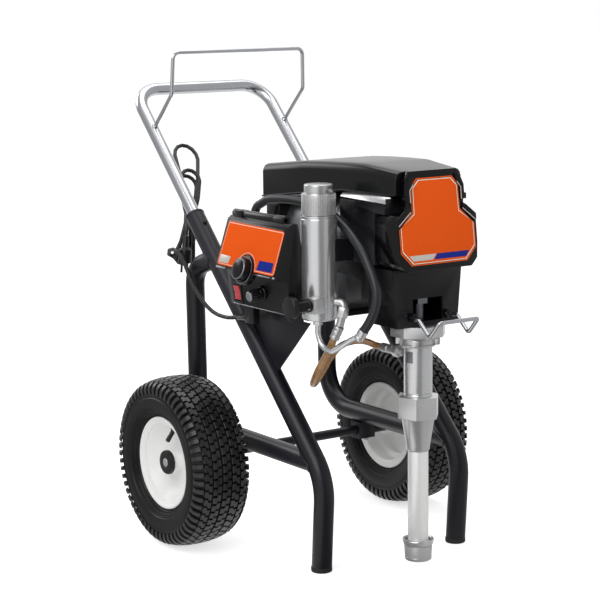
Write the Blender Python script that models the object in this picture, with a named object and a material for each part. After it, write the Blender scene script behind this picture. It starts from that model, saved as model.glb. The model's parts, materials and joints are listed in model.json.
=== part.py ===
"""Airless paint sprayer on a two-wheeled cart, one object for each of its pieces.

Sizes are in metres and +Z is up. The pump and the front cover face -Y, the handle is at +Y
and the control box is on the -X side. Every piece hangs on one empty, which moves the cart
from its working frame (wheel axle at y = 0) to the middle of its own length.
"""

import math

import bmesh
import bpy
from mathutils import Matrix, Vector

# ---------------------------------------------------------------- fits shared by all pieces
GAP = 0.0003
RUN = 0.0004
SHARP_ANGLE = math.radians(32)
SIDES = (("left", -1), ("right", 1))
MANY_CUTS = ("drive_housing", "control_box")

# ---------------------------------------------------------------- cart frame
TRACK = 0.159
FRAME_R = 0.019
FRAME_WALL = 0.002
PLUG_FIT = 0.0008
FRAME_BEND = 0.100
SLEEVE_TOP_Y = 0.1105
SLEEVE_TOP_Z = 0.6214
SLEEVE_ANGLE = math.radians(45.5)
FOOT_Y = -0.3146
LEG_LEAN = 0.0725
RAIL_Z = 0.2025
REAR_LOW_Y = 0.112
REAR_HIGH_Y = 0.118
REAR_HIGH_Z = 0.520
REAR_JOIN_DOWN = 0.1057
REAR_LOW_BEND = 0.080
REAR_HIGH_BEND = 0.050
FOOT_CAP_R = 0.0197
FOOT_CAP_HEIGHT = 0.0097
FOOT_PLUG_LENGTH = 0.020

# ---------------------------------------------------------------- cradle between the tubes
DECK_TOP = 0.472
DECK_THICK = 0.004
DECK_FRONT = -0.295
DECK_REAR = -0.070
GUSSET_THICK = 0.004
GUSSET_DOWN = 0.392
TAB_FRONT = -0.230
TAB_REAR = -0.130
TAB_TOP = 0.600

# ---------------------------------------------------------------- handle and hose rack
HANDLE_R = 0.0127
HANDLE_WALL = 0.0018
HANDLE_REACH = 0.3386
HANDLE_INSERT = 0.100
HANDLE_BEND = 0.056
BUSH_FLANGE = 0.006
BUSH_PLUG = 0.020
RACK_R = 0.004
RACK_FOOT_UP = 0.228
RACK_OUT = 0.1084
RACK_TOP_Y = 0.189
RACK_TOP_Z = 0.943
RACK_TOP_INSET = 0.003
RACK_BEND = 0.014
SNAP_R = 0.004
SNAP_DOWN = 0.030
SNAP_PROUD = 0.0055

# ---------------------------------------------------------------- wheels
AXLE_Z = 0.165
AXLE_R = 0.0095
AXLE_COLLAR_R = 0.012
AXLE_STUB_R = 0.008
WHEEL_X = 0.2663
WHEEL_SIDES = 24
TYRE_R = 0.165
TYRE_HALF = 0.060
TYRE_WALL = 0.008
RIM_HALF = 0.045
RIM_WALL = 0.0025
RIM_FLANGE_R = 0.090
RIM_SEAT_R = 0.0765
RIM_WELL_R = 0.0665
RIM_WELL_HALF = 0.011
DISH_X = 0.0165
DISH_R = 0.0385
HUB_R = 0.0185
HUB_IN = 0.044
HUB_OUT = 0.030
HUB_CAP_R = 0.0235
HUB_CAP_LENGTH = 0.0103
HUB_CAP_FACE = 0.003
VALVE_R = 0.0045
VALVE_RADIUS = 0.057
VALVE_ANGLE = math.radians(103)
VALVE_END = 0.040
BRACKET_IN = 0.148
BRACKET_OUT = 0.188
BRACKET_HALF = 0.016
BRACKET_DROP = 0.017

# ---------------------------------------------------------------- electric motor
MOTOR_Z = 0.605
MOTOR_R = 0.088
MOTOR_CAVITY_R = 0.062
MOTOR_FRONT = -0.285
MOTOR_REAR = -0.052
MOTOR_END_WALL = 0.012
MOTOR_FOOT_HALF = 0.060
MOTOR_FOOT_FRONT = -0.260
MOTOR_FOOT_REAR = -0.100
ROTOR_R = 0.050
ROTOR_SHAFT_R = 0.008
ROTOR_END_GAP = 0.008

# ---------------------------------------------------------------- gear train and crank
GEAR_MODULE = 0.0015
PINION_TEETH = 12
GEAR_TEETH = 60
GEAR_BACKLASH = 0.0003
GEAR_FRONT = -0.324
GEAR_THICK = 0.016
PINION_OVERHANG = 0.002
CRANK_SHAFT_R = 0.012
CRANK_DISC_R = 0.028
CRANK_DISC_REAR = -0.358
CRANK_DISC_THICK = 0.022
CRANK_THROW = 0.015
CRANK_PIN_R = 0.008
CRANK_PIN_LENGTH = 0.0125
CON_ROD_LENGTH = 0.050
CON_ROD_THICK = 0.016
CON_ROD_TOP_R = 0.013
CON_ROD_EYE_R = 0.0105
YOKE_PIN_R = 0.005
YOKE_CHEEK = 0.0055
YOKE_HALF = 0.011
YOKE_TOP = 0.011
YOKE_BASE = 0.017

# ---------------------------------------------------------------- drive housing
HOUSING_HALF = 0.090
HOUSING_LOW = 0.575
HOUSING_LEDGE_Z = 0.686
HOUSING_TOP = 0.697
LEDGE_IN = 0.076
HOUSING_STEP_Y = -0.390
HOUSING_LEDGE_FRONT = -0.420
GEAR_CASE_HALF = 0.054
GEAR_CASE_REAR = -0.300
GEAR_CASE_LOW = 0.497
GEAR_CHAMBER_GAP = 0.0025
CHAMBER_WALL_REAR = -0.335
CHAMBER_REAR = -0.355
CHAMBER_HALF = 0.050
CHAMBER_LOW = 0.468
CHAMBER_TOP = 0.650
LOWER_HALF_TOP = 0.078
LOWER_HALF_LOW = 0.069
LOWER_REAR = -0.345
LOWER_FRONT = -0.430
LOWER_TOP = 0.5677
LOWER_BOTTOM = 0.461
LOWER_FRONT_WALL = 0.006
CORE_HALF = 0.060
CORE_SETBACK = 0.0015
CORE_ROOF_GAP = 0.005
WINDOW_HALF = 0.034
WINDOW_LOW = 0.470
WINDOW_HIGH = 0.512
SPINE_HALF = 0.030
SPINE_FRONT = -0.400
SPINE_REAR = -0.300
LUG_IN = 0.036
LUG_OUT = 0.041
LUG_DEPTH = 0.010

# ---------------------------------------------------------------- pump
PUMP_Y = -0.401
FLANGE_LOW = 0.440
FLANGE_HALF = 0.048
CYLINDER_R = 0.0262
CYLINDER_BORE = 0.018
CYLINDER_LOW = 0.324
CYLINDER_HEAD = 0.010
JAM_NUT_LOW = 0.420
JAM_NUT_HIGH = 0.4385
JAM_NUT_R = 0.031
JAM_LUG_R = 0.041
PISTON_R = 0.0177
PISTON_LOW = 0.358
PISTON_HEIGHT = 0.020
PUMP_ROD_R = 0.011
INTAKE_AF = 0.068
INTAKE_HEX_LOW = 0.286
INTAKE_CONE_TOP_R = 0.0305
INTAKE_CONE_LOW_R = 0.0215
INTAKE_LOW = 0.224
INTAKE_BORE = 0.015
SUCTION_R = 0.019
SUCTION_WALL = 0.0025
SUCTION_LOW = 0.040
COLLAR_R = 0.0292
COLLAR_HEIGHT = 0.0115
STRAINER_R = 0.0262
STRAINER_LOW = 0.0157
STRAINER_WALL = 0.003
SWIVEL_X = -0.013
SWIVEL_Z = 0.405
SWIVEL_REAR = -0.309
SWIVEL_R = 0.0085
SWIVEL_NUT_R = 0.0115

# ---------------------------------------------------------------- pail hanger
HANGER_WIRE_R = 0.0032
HANGER_Y = -0.435
HANGER_Z = 0.480
HANGER_HALF = 0.0445
HANGER_FRONT_Y = -0.520
HANGER_BEND = 0.006

# ---------------------------------------------------------------- covers and labels
COVER_WALL = 0.003
COVER_HALF = 0.091
COVER_LOW = 0.568
COVER_SHOULDER = 0.668
COVER_NECK_RISE = 0.077
COVER_TOP = COVER_SHOULDER + COVER_NECK_RISE
COVER_NECK_HALF = 0.065
COVER_REAR = -0.391
COVER_NECK_REAR = -0.434
COVER_FACE_Y = -0.464
COVER_FACE_Z = 0.580
COVER_FACE_LEAN = 0.119
# How far in from the widest place, and at which share of the height up to the shoulder.
COVER_SIDE = ((0.017, 0.0), (0.003, 0.14), (0.0, 0.42), (0.0, 0.82), (0.007, 1.0))
COVER_NECK_SEAT = 0.012
COVER_NECK_TAPER = 0.003
COVER_NECK_EDGE = 0.012
CORE_TOP = COVER_SHOULDER - COVER_WALL - CORE_ROOF_GAP
LABEL_SIDE = ((0.029, 0.12), (0.007, 0.35), (0.007, 0.77))
LABEL_NECK_IN = 0.012
LABEL_NECK_LOW = 0.004
LABEL_NECK_DOWN = 0.027
LABEL_TOP_IN = 0.026
LABEL_TOP_DOWN = 0.014
LABEL_THICK = 0.0008
SHROUD_WALL = 0.003
SHROUD_EDGE = 0.012

# ---------------------------------------------------------------- control box
BOX_REAR = -0.088
BOX_FRONT = -0.290
BOX_WALL = 0.003
BOX_OPEN_X = -0.180
BOX_TOP_Z = 0.6468
PANEL_LOW_X = -0.238
PANEL_LOW_Z = 0.552
PANEL_HIGH_X = -0.2086
PANEL_HIGH_Z = 0.6413
SILL_X = -0.204
SILL_Z = 0.480
BROW_X = -0.212
BROW_Z = 0.543
KNOB_Y = -0.188
KNOB_UP = 0.004
KNOB_R = 0.0215
KNOB_LENGTH = 0.0135
KNOB_END_WALL = 0.003
KNOB_BOSS_R = 0.027
KNOB_BOSS_PROUD = 0.003
KNOB_SPINDLE_R = 0.003
ROCKER_Y = -0.1175
ROCKER_Z = 0.503
ROCKER_HALF_HEIGHT = 0.0135
ROCKER_HALF_WIDTH = 0.010
ROCKER_CLEAR = 0.002
BEZEL_RIM = 0.0045
BEZEL_PROUD = 0.002
FUSE_Y = -0.205
FUSE_Z = 0.513
FUSE_R = 0.011
FUSE_LENGTH = 0.033
FUSE_FLANGE_R = 0.014
RAIL_BAR_R = 0.008
RAIL_BAR_X = -0.194
RAIL_BAR_Z = 0.651
RAIL_BAR_SHORT = 0.028

# ---------------------------------------------------------------- filter, valves and pipes
FILTER_X = -0.146
FILTER_Y = -0.297
BOWL_R = 0.0333
BOWL_WALL = 0.0063
BOWL_LOW = 0.470
BOWL_ABOVE_ARM = 0.0427
BOWL_FLOOR = 0.012
ARM_LOW = HOUSING_LOW + 0.002
ARM_HEIGHT = 0.042
ARM_HIGH = ARM_LOW + ARM_HEIGHT
ARM_HALF = 0.019
BOWL_TOP = ARM_HIGH + BOWL_ABOVE_ARM
CAP_R = 0.0298
CAP_KNURL_LENGTH = 0.040
CAP_KNURL_TOP = BOWL_TOP + GAP + CAP_KNURL_LENGTH
CAP_HEX_AF = 0.050
CAP_HEX_LENGTH = 0.016
CAP_TOP = CAP_KNURL_TOP + CAP_HEX_LENGTH
CAP_PLUG = 0.016
PRIME_Y = -0.315
PRIME_Z = 0.501
PRIME_BOSS_X = -0.181
PRIME_BOSS_HALF = 0.0135
PRIME_SLEEVE_R = 0.011
PRIME_SLEEVE_END = -0.215
PRIME_HANDLE_R = 0.0205
PRIME_HANDLE_THICK = 0.012
PRIME_STEM_R = 0.004
PRIME_STEM_LENGTH = 0.007
DRAIN_X = -0.160
DRAIN_Y = -0.3116
DRAIN_NUT_LOW = 0.4631
DRAIN_NUT_R = 0.0085
DRAIN_PIPE_R = 0.0052
DRAIN_FERRULE_R = 0.0095
DRAIN_FERRULE_LENGTH = 0.020
DRAIN_HOSE_R = 0.0085
ELBOW_R = 0.0075
ELBOW_NUT_R = 0.0095
ELBOW_FERRULE_R = 0.0090
ELBOW_FERRULE_LENGTH = 0.026
PAINT_HOSE_R = 0.0065

# ---------------------------------------------------------------- mains cord and plug
CORD_R = 0.004
HANK_LOOPS = 3
HANK_LOOP_POINTS = 24
HANK_PITCH = 0.0090
HANK_KEPT = slice(2, -1)
HANK_BOTTOM_HALF = 0.020
HANK_WAIST_HALF = 0.0125
HANK_TOP_HALF = 0.026
GLAND_X = -0.187
GLAND_END_Y = -0.084
GLAND_END_Z = 0.449
GLAND_BLOCK_REAR = -0.120
PLUG_BODY_R = 0.0135
PLUG_LENGTH = 0.032
PLUG_BOOT = 0.022
PIN_LENGTH = 0.019
TIE_R = 0.0018


def mm(*values):
    """Return the point with the given coordinates in millimetres."""
    return Vector(values) * 0.001


# Routes chosen by hand from the photograph, from one end of each hose or cord to the other.
DRAIN_PIPE_ROUTE = (
    mm(-160, -311.6, 462.8), mm(-160, -311.6, 446), mm(-158.5, -322, 426.5),
    mm(-154, -343.2, 418.9), mm(-147, -367.7, 430.9), mm(-138, -385, 444.1))
DRAIN_HOSE_ROUTE = (
    mm(-127, -405.6, 460.5), mm(-122, -417.6, 479.3), mm(-118, -428.5, 503),
    mm(-116, -431.2, 528.8), mm(-115, -422.1, 553.2), mm(-115, -408.9, 574.1),
    mm(-115, -390.6, 597.7), mm(-114, -365.2, 617.5), mm(-111, -339.8, 632.6),
    mm(-105, -309, 644), mm(-102, -278, 656), mm(-104, -235, 667), mm(-109, -193.5, 673.3),
    mm(-112, -155, 674.9), mm(-118, -99.5, 671.6), mm(-122, -74, 662), mm(-125.5, -57, 648),
    mm(-129, -48, 600), mm(-130, -47, 560))
PAINT_HOSE_ROUTE = (
    mm(-136, -328, 437), mm(-141.5, -317, 412), mm(-139, -282, 373), mm(-128, -250.6, 346),
    mm(-115, -229, 333.5), mm(-99, -216, 334), mm(-84.4, -215, 350.7), mm(-68, -221, 378.5),
    mm(-55, -236, 401), mm(-40, -258, 411.5), mm(-25, -274, 411.5), mm(-13, -289, 405),
    mm(-13, -308.7, 405))
POWER_CORD_ROUTE = (
    mm(-187, -83.7, 449), mm(-187, -45, 443), mm(-187, 2, 446), mm(-187, 45, 464),
    mm(-187, 80, 492), mm(-187, 108, 527), mm(-187.5, 135, 551), mm(-187, 163, 553),
    mm(-181.5, 181, 543), mm(-172.8, 187.8, 535.7), mm(-163.6, 189.6, 532.3))
PLUG_LEAD_ROUTE = (
    mm(-149, 161.1, 612.9), mm(-151.4, 156.4, 604.4), mm(-156, 149, 596), mm(-160, 146, 588),
    mm(-160.8, 145.8, 580))
HANK_SPINE = (mm(-151, 180, 522), mm(-130, 178, 628), mm(-77, 290, 746))


def up_back():
    """Return the unit direction of the sleeves, upwards and to the rear."""
    return Vector((0, math.cos(SLEEVE_ANGLE), math.sin(SLEEVE_ANGLE)))


def upper_normal():
    """Return the unit direction square to the sleeves, upwards and to the front."""
    return Vector((0, -math.sin(SLEEVE_ANGLE), math.cos(SLEEVE_ANGLE)))


def sleeve_point(x, along):
    """Return the point of a sleeve's axis at a distance above its top."""
    return Vector((x, SLEEVE_TOP_Y, SLEEVE_TOP_Z)) + up_back() * along


def leg_point(x, z):
    """Return the point of a front leg's axis at height z."""
    return Vector((x, FOOT_Y - LEG_LEAN * z, z))


def cover_face_y(z):
    """Return the y of the front cover's leaning face at height z."""
    return COVER_FACE_Y + (z - COVER_FACE_Z) * COVER_FACE_LEAN


def centre_shift():
    """Return how far the cart moves along Y to stand in the middle of its length."""
    front = HANGER_FRONT_Y - HANGER_WIRE_R
    rear = sleeve_point(0, HANDLE_REACH).y + HANDLE_R
    return -(front + rear) / 2


# ---------------------------------------------------------------- shapes
def lathe(profile, origin, axis, sides):
    """Turn a closed profile of (radius, height) pairs about an axis through origin."""
    bm = bmesh.new()
    turn = Vector((0, 0, 1)).rotation_difference(Vector(axis).normalized()).to_matrix()
    rings = []
    for radius, height in profile:
        steps = 1 if radius == 0 else sides
        ring = []
        for step in range(steps):
            angle = 2 * math.pi * step / sides
            local = Vector((radius * math.cos(angle), radius * math.sin(angle), height))
            ring.append(bm.verts.new(Vector(origin) + turn @ local))
        rings.append(ring)
    for ring, after in zip(rings, rings[1:] + rings[:1]):
        join_rings(bm, ring, after, sides)
    return bm


def join_rings(bm, ring, after, sides):
    """Span the strip between two rings, either of which may be a single point."""
    if len(ring) == 1 and len(after) == 1:
        return
    for step in range(sides):
        ahead = (step + 1) % sides
        if len(ring) == 1:
            bm.faces.new((ring[0], after[step], after[ahead]))
        elif len(after) == 1:
            bm.faces.new((ring[step], ring[ahead], after[0]))
        else:
            bm.faces.new((ring[step], ring[ahead], after[ahead], after[step]))


def rod(start, end, radius, sides=16, end_radius=None):
    """Return a solid rod, or a cone where the end has its own radius."""
    span = Vector(end) - Vector(start)
    last = radius if end_radius is None else end_radius
    profile = ((0, 0), (radius, 0), (last, span.length), (0, span.length))
    return lathe(profile, start, span, sides)


def prism(outline, axis, start, end):
    """Extrude an outline along X, Y or Z; its points hold the other two coordinates."""
    bm = bmesh.new()
    place = "XYZ".index(axis)
    ends = []
    for level in (start, end):
        ring = []
        for pair in outline:
            point = list(pair)
            point.insert(place, level)
            ring.append(bm.verts.new(point))
        ends.append(ring)
    join_rings(bm, ends[0], ends[1], len(outline))
    bm.faces.new(ends[0])
    bm.faces.new(ends[1])
    return bm


def box(low, high):
    """Return the box between two opposite corners."""
    outline = ((low[0], low[1]), (high[0], low[1]), (high[0], high[1]), (low[0], high[1]))
    return prism(outline, "Z", low[2], high[2])


def polygon(radius, sides, centre=(0, 0), start=0.0):
    """Return the corners of a regular polygon."""
    corners = []
    for step in range(sides):
        angle = start + 2 * math.pi * step / sides
        corners.append((centre[0] + radius * math.cos(angle), centre[1] + radius * math.sin(angle)))
    return corners


def mirrored(half):
    """Close a half outline, given from bottom to top at +x, with its mirror image."""
    return [*half, *[(-x, z) for x, z in reversed(half)]]


def loft(loops):
    """Join loops of equally many points into one solid with flat ends."""
    bm = bmesh.new()
    rings = [[bm.verts.new(point) for point in loop] for loop in loops]
    for ring, after in zip(rings, rings[1:]):
        join_rings(bm, ring, after, len(ring))
    bm.faces.new(rings[0])
    bm.faces.new(rings[-1])
    return bm


def sweep(path, radius, sides=16, bore=0.0):
    """Sweep a round section along a path, hollow where it has a bore."""
    bm = bmesh.new()
    outer = []
    inner = []
    tangent = (path[1] - path[0]).normalized()
    across = tangent.cross(Vector((1, 0, 0)))
    if across.length < 0.1:
        across = tangent.cross(Vector((0, 0, 1)))
    across.normalize()
    for index, point in enumerate(path):
        ahead = path[min(index + 1, len(path) - 1)] - path[max(index - 1, 0)]
        across = (across - ahead.normalized() * across.dot(ahead.normalized())).normalized()
        beside = ahead.normalized().cross(across)
        for rings, size in ((outer, radius), (inner, bore)):
            ring = []
            for step in range(sides):
                angle = 2 * math.pi * step / sides
                spoke = across * math.cos(angle) + beside * math.sin(angle)
                ring.append(point + spoke * size)
            rings.append(ring)
    walls = [outer, inner] if bore else [outer]
    made = [[[bm.verts.new(point) for point in ring] for ring in rings] for rings in walls]
    for rings in made:
        for ring, after in zip(rings, rings[1:]):
            join_rings(bm, ring, after, sides)
    for end in (0, -1):
        if bore:
            join_rings(bm, made[0][end], made[1][end], sides)
        else:
            bm.faces.new(made[0][end])
    return bm


def fillet(points, radii, steps=5):
    """Round each inner corner of a path with an arc of its own radius."""
    path = [points[0]]
    for index, radius in enumerate(radii):
        before, corner, after = points[index:index + 3]
        back = (before - corner).normalized()
        ahead = (after - corner).normalized()
        half = back.angle(ahead) / 2
        middle = corner + (back + ahead).normalized() * (radius / math.sin(half))
        start = corner + back * (radius / math.tan(half)) - middle
        end = corner + ahead * (radius / math.tan(half)) - middle
        turn = start.angle(end)
        for step in range(steps + 1):
            part = step / steps
            swung = start * math.sin((1 - part) * turn) + end * math.sin(part * turn)
            path.append(middle + swung / math.sin(turn))
    path.append(points[-1])
    return path


def spline(route, spacing):
    """Return evenly spaced points of the smooth curve through a route."""
    knots = [route[0] * 2 - route[1], *route, route[-1] * 2 - route[-2]]
    dense = []
    fine = 24
    for index in range(1, len(knots) - 2):
        a, b, c, d = knots[index - 1:index + 3]
        for step in range(fine):
            t = step / fine
            dense.append(0.5 * (2 * b + (c - a) * t + (2 * a - 5 * b + 4 * c - d) * t ** 2
                                + (3 * b - a - 3 * c + d) * t ** 3))
    dense.append(route[-1])
    lengths = [0.0]
    for before, after in zip(dense, dense[1:]):
        lengths.append(lengths[-1] + (after - before).length)
    count = max(3, round(lengths[-1] / spacing))
    points = []
    for index in range(count + 1):
        goal = lengths[-1] * index / count
        upper = next(i for i in range(1, len(dense)) if lengths[i] >= goal - 1e-9)
        share = (goal - lengths[upper - 1]) / (lengths[upper] - lengths[upper - 1])
        points.append(dense[upper - 1].lerp(dense[upper], share))
    run = lengths[-1] / count
    points[1] = route[0] + (route[1] - route[0]).normalized() * run
    points[-2] = route[-1] + (route[-2] - route[-1]).normalized() * run
    return points


def crossing(path, z):
    """Return the first point of a rising path at height z."""
    for before, after in zip(path, path[1:]):
        if before.z <= z <= after.z:
            return before.lerp(after, (z - before.z) / (after.z - before.z))
    return path[-1]


# ---------------------------------------------------------------- objects
def finish(name, colour, roughness, metallic):
    """Return a plain material of one colour, given as linear red, green and blue."""
    paint = bpy.data.materials.new(name)
    paint.use_nodes = True
    shader = paint.node_tree.nodes["Principled BSDF"]
    shader.inputs["Base Color"].default_value = (*colour, 1)
    shader.inputs["Roughness"].default_value = roughness
    shader.inputs["Metallic"].default_value = metallic
    paint.diffuse_color = (*colour, 1)
    return paint


def piece(name, bm, paint, pivot=(0, 0, 0)):
    """Make one object of a mesh, with its origin on the pivot."""
    bmesh.ops.recalc_face_normals(bm, faces=bm.faces[:])
    bmesh.ops.translate(bm, verts=bm.verts[:], vec=-Vector(pivot))
    mesh = bpy.data.meshes.new(name)
    bm.to_mesh(mesh)
    bm.free()
    mesh.shade_smooth()
    mesh.set_sharp_from_angle(angle=SHARP_ANGLE)
    if paint:
        mesh.materials.append(paint)
    made = bpy.data.objects.new(name, mesh)
    made.location = pivot
    made.parent = bpy.data.objects["sprayer"]
    bpy.context.scene.collection.objects.link(made)
    return made


def alter(target, bm, operation):
    """Add to a piece, or cut from it, the shape of a hidden helper object."""
    helper = piece(f"{operation.lower()}_{len(target.modifiers)}_{target.name}", bm, None)
    helper.hide_render = True
    helper.display_type = "WIRE"
    change = target.modifiers.new(helper.name, "BOOLEAN")
    change.operation = operation
    change.solver = "MANIFOLD" if target.name in MANY_CUTS else "EXACT"
    change.object = helper


def cut(target, bm):
    """Cut a shape from a piece."""
    alter(target, bm, "DIFFERENCE")


def fuse(target, bm):
    """Add a shape to a piece."""
    alter(target, bm, "UNION")


def cord(name, points, radius, paint, resolution):
    """Make a round cord as a curve through the points."""
    curve = bpy.data.curves.new(name, "CURVE")
    curve.dimensions = "3D"
    curve.bevel_depth = radius
    curve.bevel_resolution = resolution
    curve.resolution_u = 1
    curve.render_resolution_u = 0
    curve.use_fill_caps = True
    line = curve.splines.new("POLY")
    line.points.add(len(points) - 1)
    for place, point in zip(line.points, points):
        place.co = (*point, 1)
    curve.materials.append(paint)
    made = bpy.data.objects.new(name, curve)
    made.parent = bpy.data.objects["sprayer"]
    bpy.context.scene.collection.objects.link(made)
    return made


# ---------------------------------------------------------------- cart frame
def frame_path(x):
    """Return the axis of a main tube, from its foot up to the sleeve's top."""
    along = up_back()
    down = (FOOT_Y - LEG_LEAN * SLEEVE_TOP_Z - SLEEVE_TOP_Y) / (along.y + LEG_LEAN * along.z)
    foot = leg_point(x, FOOT_CAP_HEIGHT + GAP)
    return fillet([foot, sleeve_point(x, down), sleeve_point(x, 0)], [FRAME_BEND], 6)


def snap_pin(x, radius, inner, outer):
    """Return a pin square to the sleeve, at the height of the snap button."""
    middle = sleeve_point(x, -SNAP_DOWN)
    return rod(middle + upper_normal() * inner, middle + upper_normal() * outer, radius, 12)


def build_frame_tube(label, side, paint):
    """Build the bent main tube, which is leg, slope and handle sleeve in one."""
    tube = piece(f"frame_tube_{label}", sweep(frame_path(side * TRACK), FRAME_R, 16,
                                              FRAME_R - FRAME_WALL), paint)
    cut(tube, snap_pin(side * TRACK, SNAP_R + GAP, HANDLE_R, FRAME_R + FRAME_WALL))


def build_rear_tube(label, side, paint):
    """Build the rear tube, which carries the axle and props the sleeve."""
    x = side * TRACK
    main = frame_path(x)
    corners = [crossing(main, RAIL_Z), Vector((x, REAR_LOW_Y, RAIL_Z)),
               Vector((x, REAR_HIGH_Y, REAR_HIGH_Z)), sleeve_point(x, -REAR_JOIN_DOWN)]
    path = fillet(corners, [REAR_LOW_BEND, REAR_HIGH_BEND], 4)
    tube = piece(f"rear_tube_{label}", sweep(path, FRAME_R, 12, FRAME_R - FRAME_WALL), paint)
    cut(tube, sweep(main, FRAME_R + GAP, 16))


def build_foot_cap(label, side, paint):
    """Build the rubber foot: a plug in the tube and a pad cut flat on the floor."""
    foot = leg_point(side * TRACK, 0)
    lean = leg_point(side * TRACK, 1) - foot
    plug_r = FRAME_R - FRAME_WALL - PLUG_FIT
    slack = FOOT_CAP_R * LEG_LEAN + 0.001
    profile = ((0, -slack), (FOOT_CAP_R, -slack), (FOOT_CAP_R, FOOT_CAP_HEIGHT),
               (plug_r, FOOT_CAP_HEIGHT), (plug_r, FOOT_CAP_HEIGHT + FOOT_PLUG_LENGTH),
               (0, FOOT_CAP_HEIGHT + FOOT_PLUG_LENGTH))
    bm = lathe(profile, foot, lean, 20)
    parts = bm.verts[:] + bm.edges[:] + bm.faces[:]
    bmesh.ops.bisect_plane(bm, geom=parts, plane_co=(0, 0, 0), plane_no=(0, 0, 1), clear_inner=True)
    rim = [edge for edge in bm.edges if edge.is_boundary]
    bmesh.ops.contextual_create(bm, geom=rim)
    piece(f"foot_cap_{label}", bm, paint)


def build_cradle(paint):
    """Build the folded sheet between the tubes, with the tab that holds the control box."""
    reach = FRAME_R + GAP
    low = sleeve_point(0, -GUSSET_DOWN) + upper_normal() * reach
    lip = DECK_TOP + 0.001
    front = low + upper_normal() * ((lip - low.z) / upper_normal().z)
    rear = low + up_back() * ((lip - low.z) / up_back().z)
    plain = [(low.y, low.z), (front.y, lip), (rear.y, lip)]
    tabbed = [(low.y, low.z), (front.y, lip), (TAB_FRONT, lip), (TAB_FRONT, TAB_TOP),
              (TAB_REAR, TAB_TOP), (TAB_REAR, lip), (rear.y, lip)]
    half = GUSSET_THICK / 2
    deck = box((-TRACK, DECK_FRONT, DECK_TOP - DECK_THICK), (TRACK, DECK_REAR, DECK_TOP))
    cradle = piece("cradle", deck, paint)
    room = BOWL_R + 0.003
    fuse(cradle, prism(tabbed, "X", -TRACK - half, -TRACK + half))
    fuse(cradle, prism(plain, "X", TRACK - half, TRACK + half))
    cut(cradle, rod((FILTER_X, FILTER_Y, BOWL_LOW - 0.008), (FILTER_X, FILTER_Y, lip + 0.01), room, 32))


# ---------------------------------------------------------------- handle
def build_handle_bush(label, side, paint):
    """Build the plastic bush that guides a handle leg in its sleeve."""
    bore = HANDLE_R + GAP
    plug = FRAME_R - FRAME_WALL - PLUG_FIT
    profile = ((bore, -BUSH_PLUG), (plug, -BUSH_PLUG), (plug, GAP), (FRAME_R, GAP),
               (FRAME_R, BUSH_FLANGE), (bore, BUSH_FLANGE))
    piece(f"handle_bush_{label}", lathe(profile, sleeve_point(side * TRACK, 0), up_back(), 16), paint)


def build_handle(paint):
    """Build the U-shaped pull-out handle, with a hole for each snap button."""
    corners = [sleeve_point(-TRACK, -HANDLE_INSERT), sleeve_point(-TRACK, HANDLE_REACH),
               sleeve_point(TRACK, HANDLE_REACH), sleeve_point(TRACK, -HANDLE_INSERT)]
    path = fillet(corners, [HANDLE_BEND, HANDLE_BEND])
    handle = piece("handle", sweep(path, HANDLE_R, 12, HANDLE_R - HANDLE_WALL), paint,
                   sleeve_point(0, 0))
    for _, side in SIDES:
        cut(handle, snap_pin(side * TRACK, SNAP_R + RUN, HANDLE_R / 2, HANDLE_R + FRAME_WALL))


def build_hose_rack(paint):
    """Build the wire rack that stands on the handle's legs."""
    half = []
    for side in (-1, 1):
        leg = sleeve_point(side * TRACK, RACK_FOOT_UP)
        foot = leg + upper_normal() * (HANDLE_R + GAP)
        bend = leg + upper_normal() * RACK_OUT
        top = Vector((side * (TRACK - RACK_TOP_INSET), RACK_TOP_Y, RACK_TOP_Z))
        half.append([foot, bend, top])
    corners = half[0] + half[1][::-1]
    path = fillet(corners, [RACK_BEND] * 4, 3)
    piece("hose_rack", sweep(path, RACK_R, 7), paint, sleeve_point(0, 0))


def build_snap_button(label, side, paint):
    """Build the sprung button that locks a handle leg."""
    inner = HANDLE_R + RUN
    outer = FRAME_R + SNAP_PROUD
    middle = sleeve_point(side * TRACK, -SNAP_DOWN)
    profile = ((0, inner), (SNAP_R, inner), (SNAP_R, outer - SNAP_R / 3),
               (SNAP_R * 2 / 3, outer), (0, outer))
    piece(f"snap_button_{label}", lathe(profile, middle, upper_normal(), 12), paint,
          middle + upper_normal() * FRAME_R)


# ---------------------------------------------------------------- wheels
def build_axle(paint):
    """Build the axle with its collars and stubs."""
    hub_inner = WHEEL_X - HUB_IN
    collar_start = BRACKET_OUT + 0.0025
    end = WHEEL_X + HUB_OUT + RUN + HUB_CAP_LENGTH - HUB_CAP_FACE - RUN
    half = ((AXLE_R, collar_start), (AXLE_COLLAR_R, collar_start), (AXLE_COLLAR_R, hub_inner - RUN),
            (AXLE_STUB_R, hub_inner - RUN), (AXLE_STUB_R, end), (0, end))
    profile = [(r, -x) for r, x in reversed(half)] + list(half)
    piece("axle", lathe(profile, (0, 0, AXLE_Z), (1, 0, 0), 16), paint)


def build_axle_bracket(label, side, paint):
    """Build the block that hangs the axle under a rear tube's rail."""
    inner, outer = sorted((side * BRACKET_IN, side * BRACKET_OUT))
    top = RAIL_Z - FRAME_R - GAP
    block = box((inner, -BRACKET_HALF, AXLE_Z - BRACKET_DROP), (outer, BRACKET_HALF, top))
    bracket = piece(f"axle_bracket_{label}", block, paint)
    cut(bracket, rod((inner - 0.005, 0, AXLE_Z), (outer + 0.005, 0, AXLE_Z), AXLE_R + GAP, 16))


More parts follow.
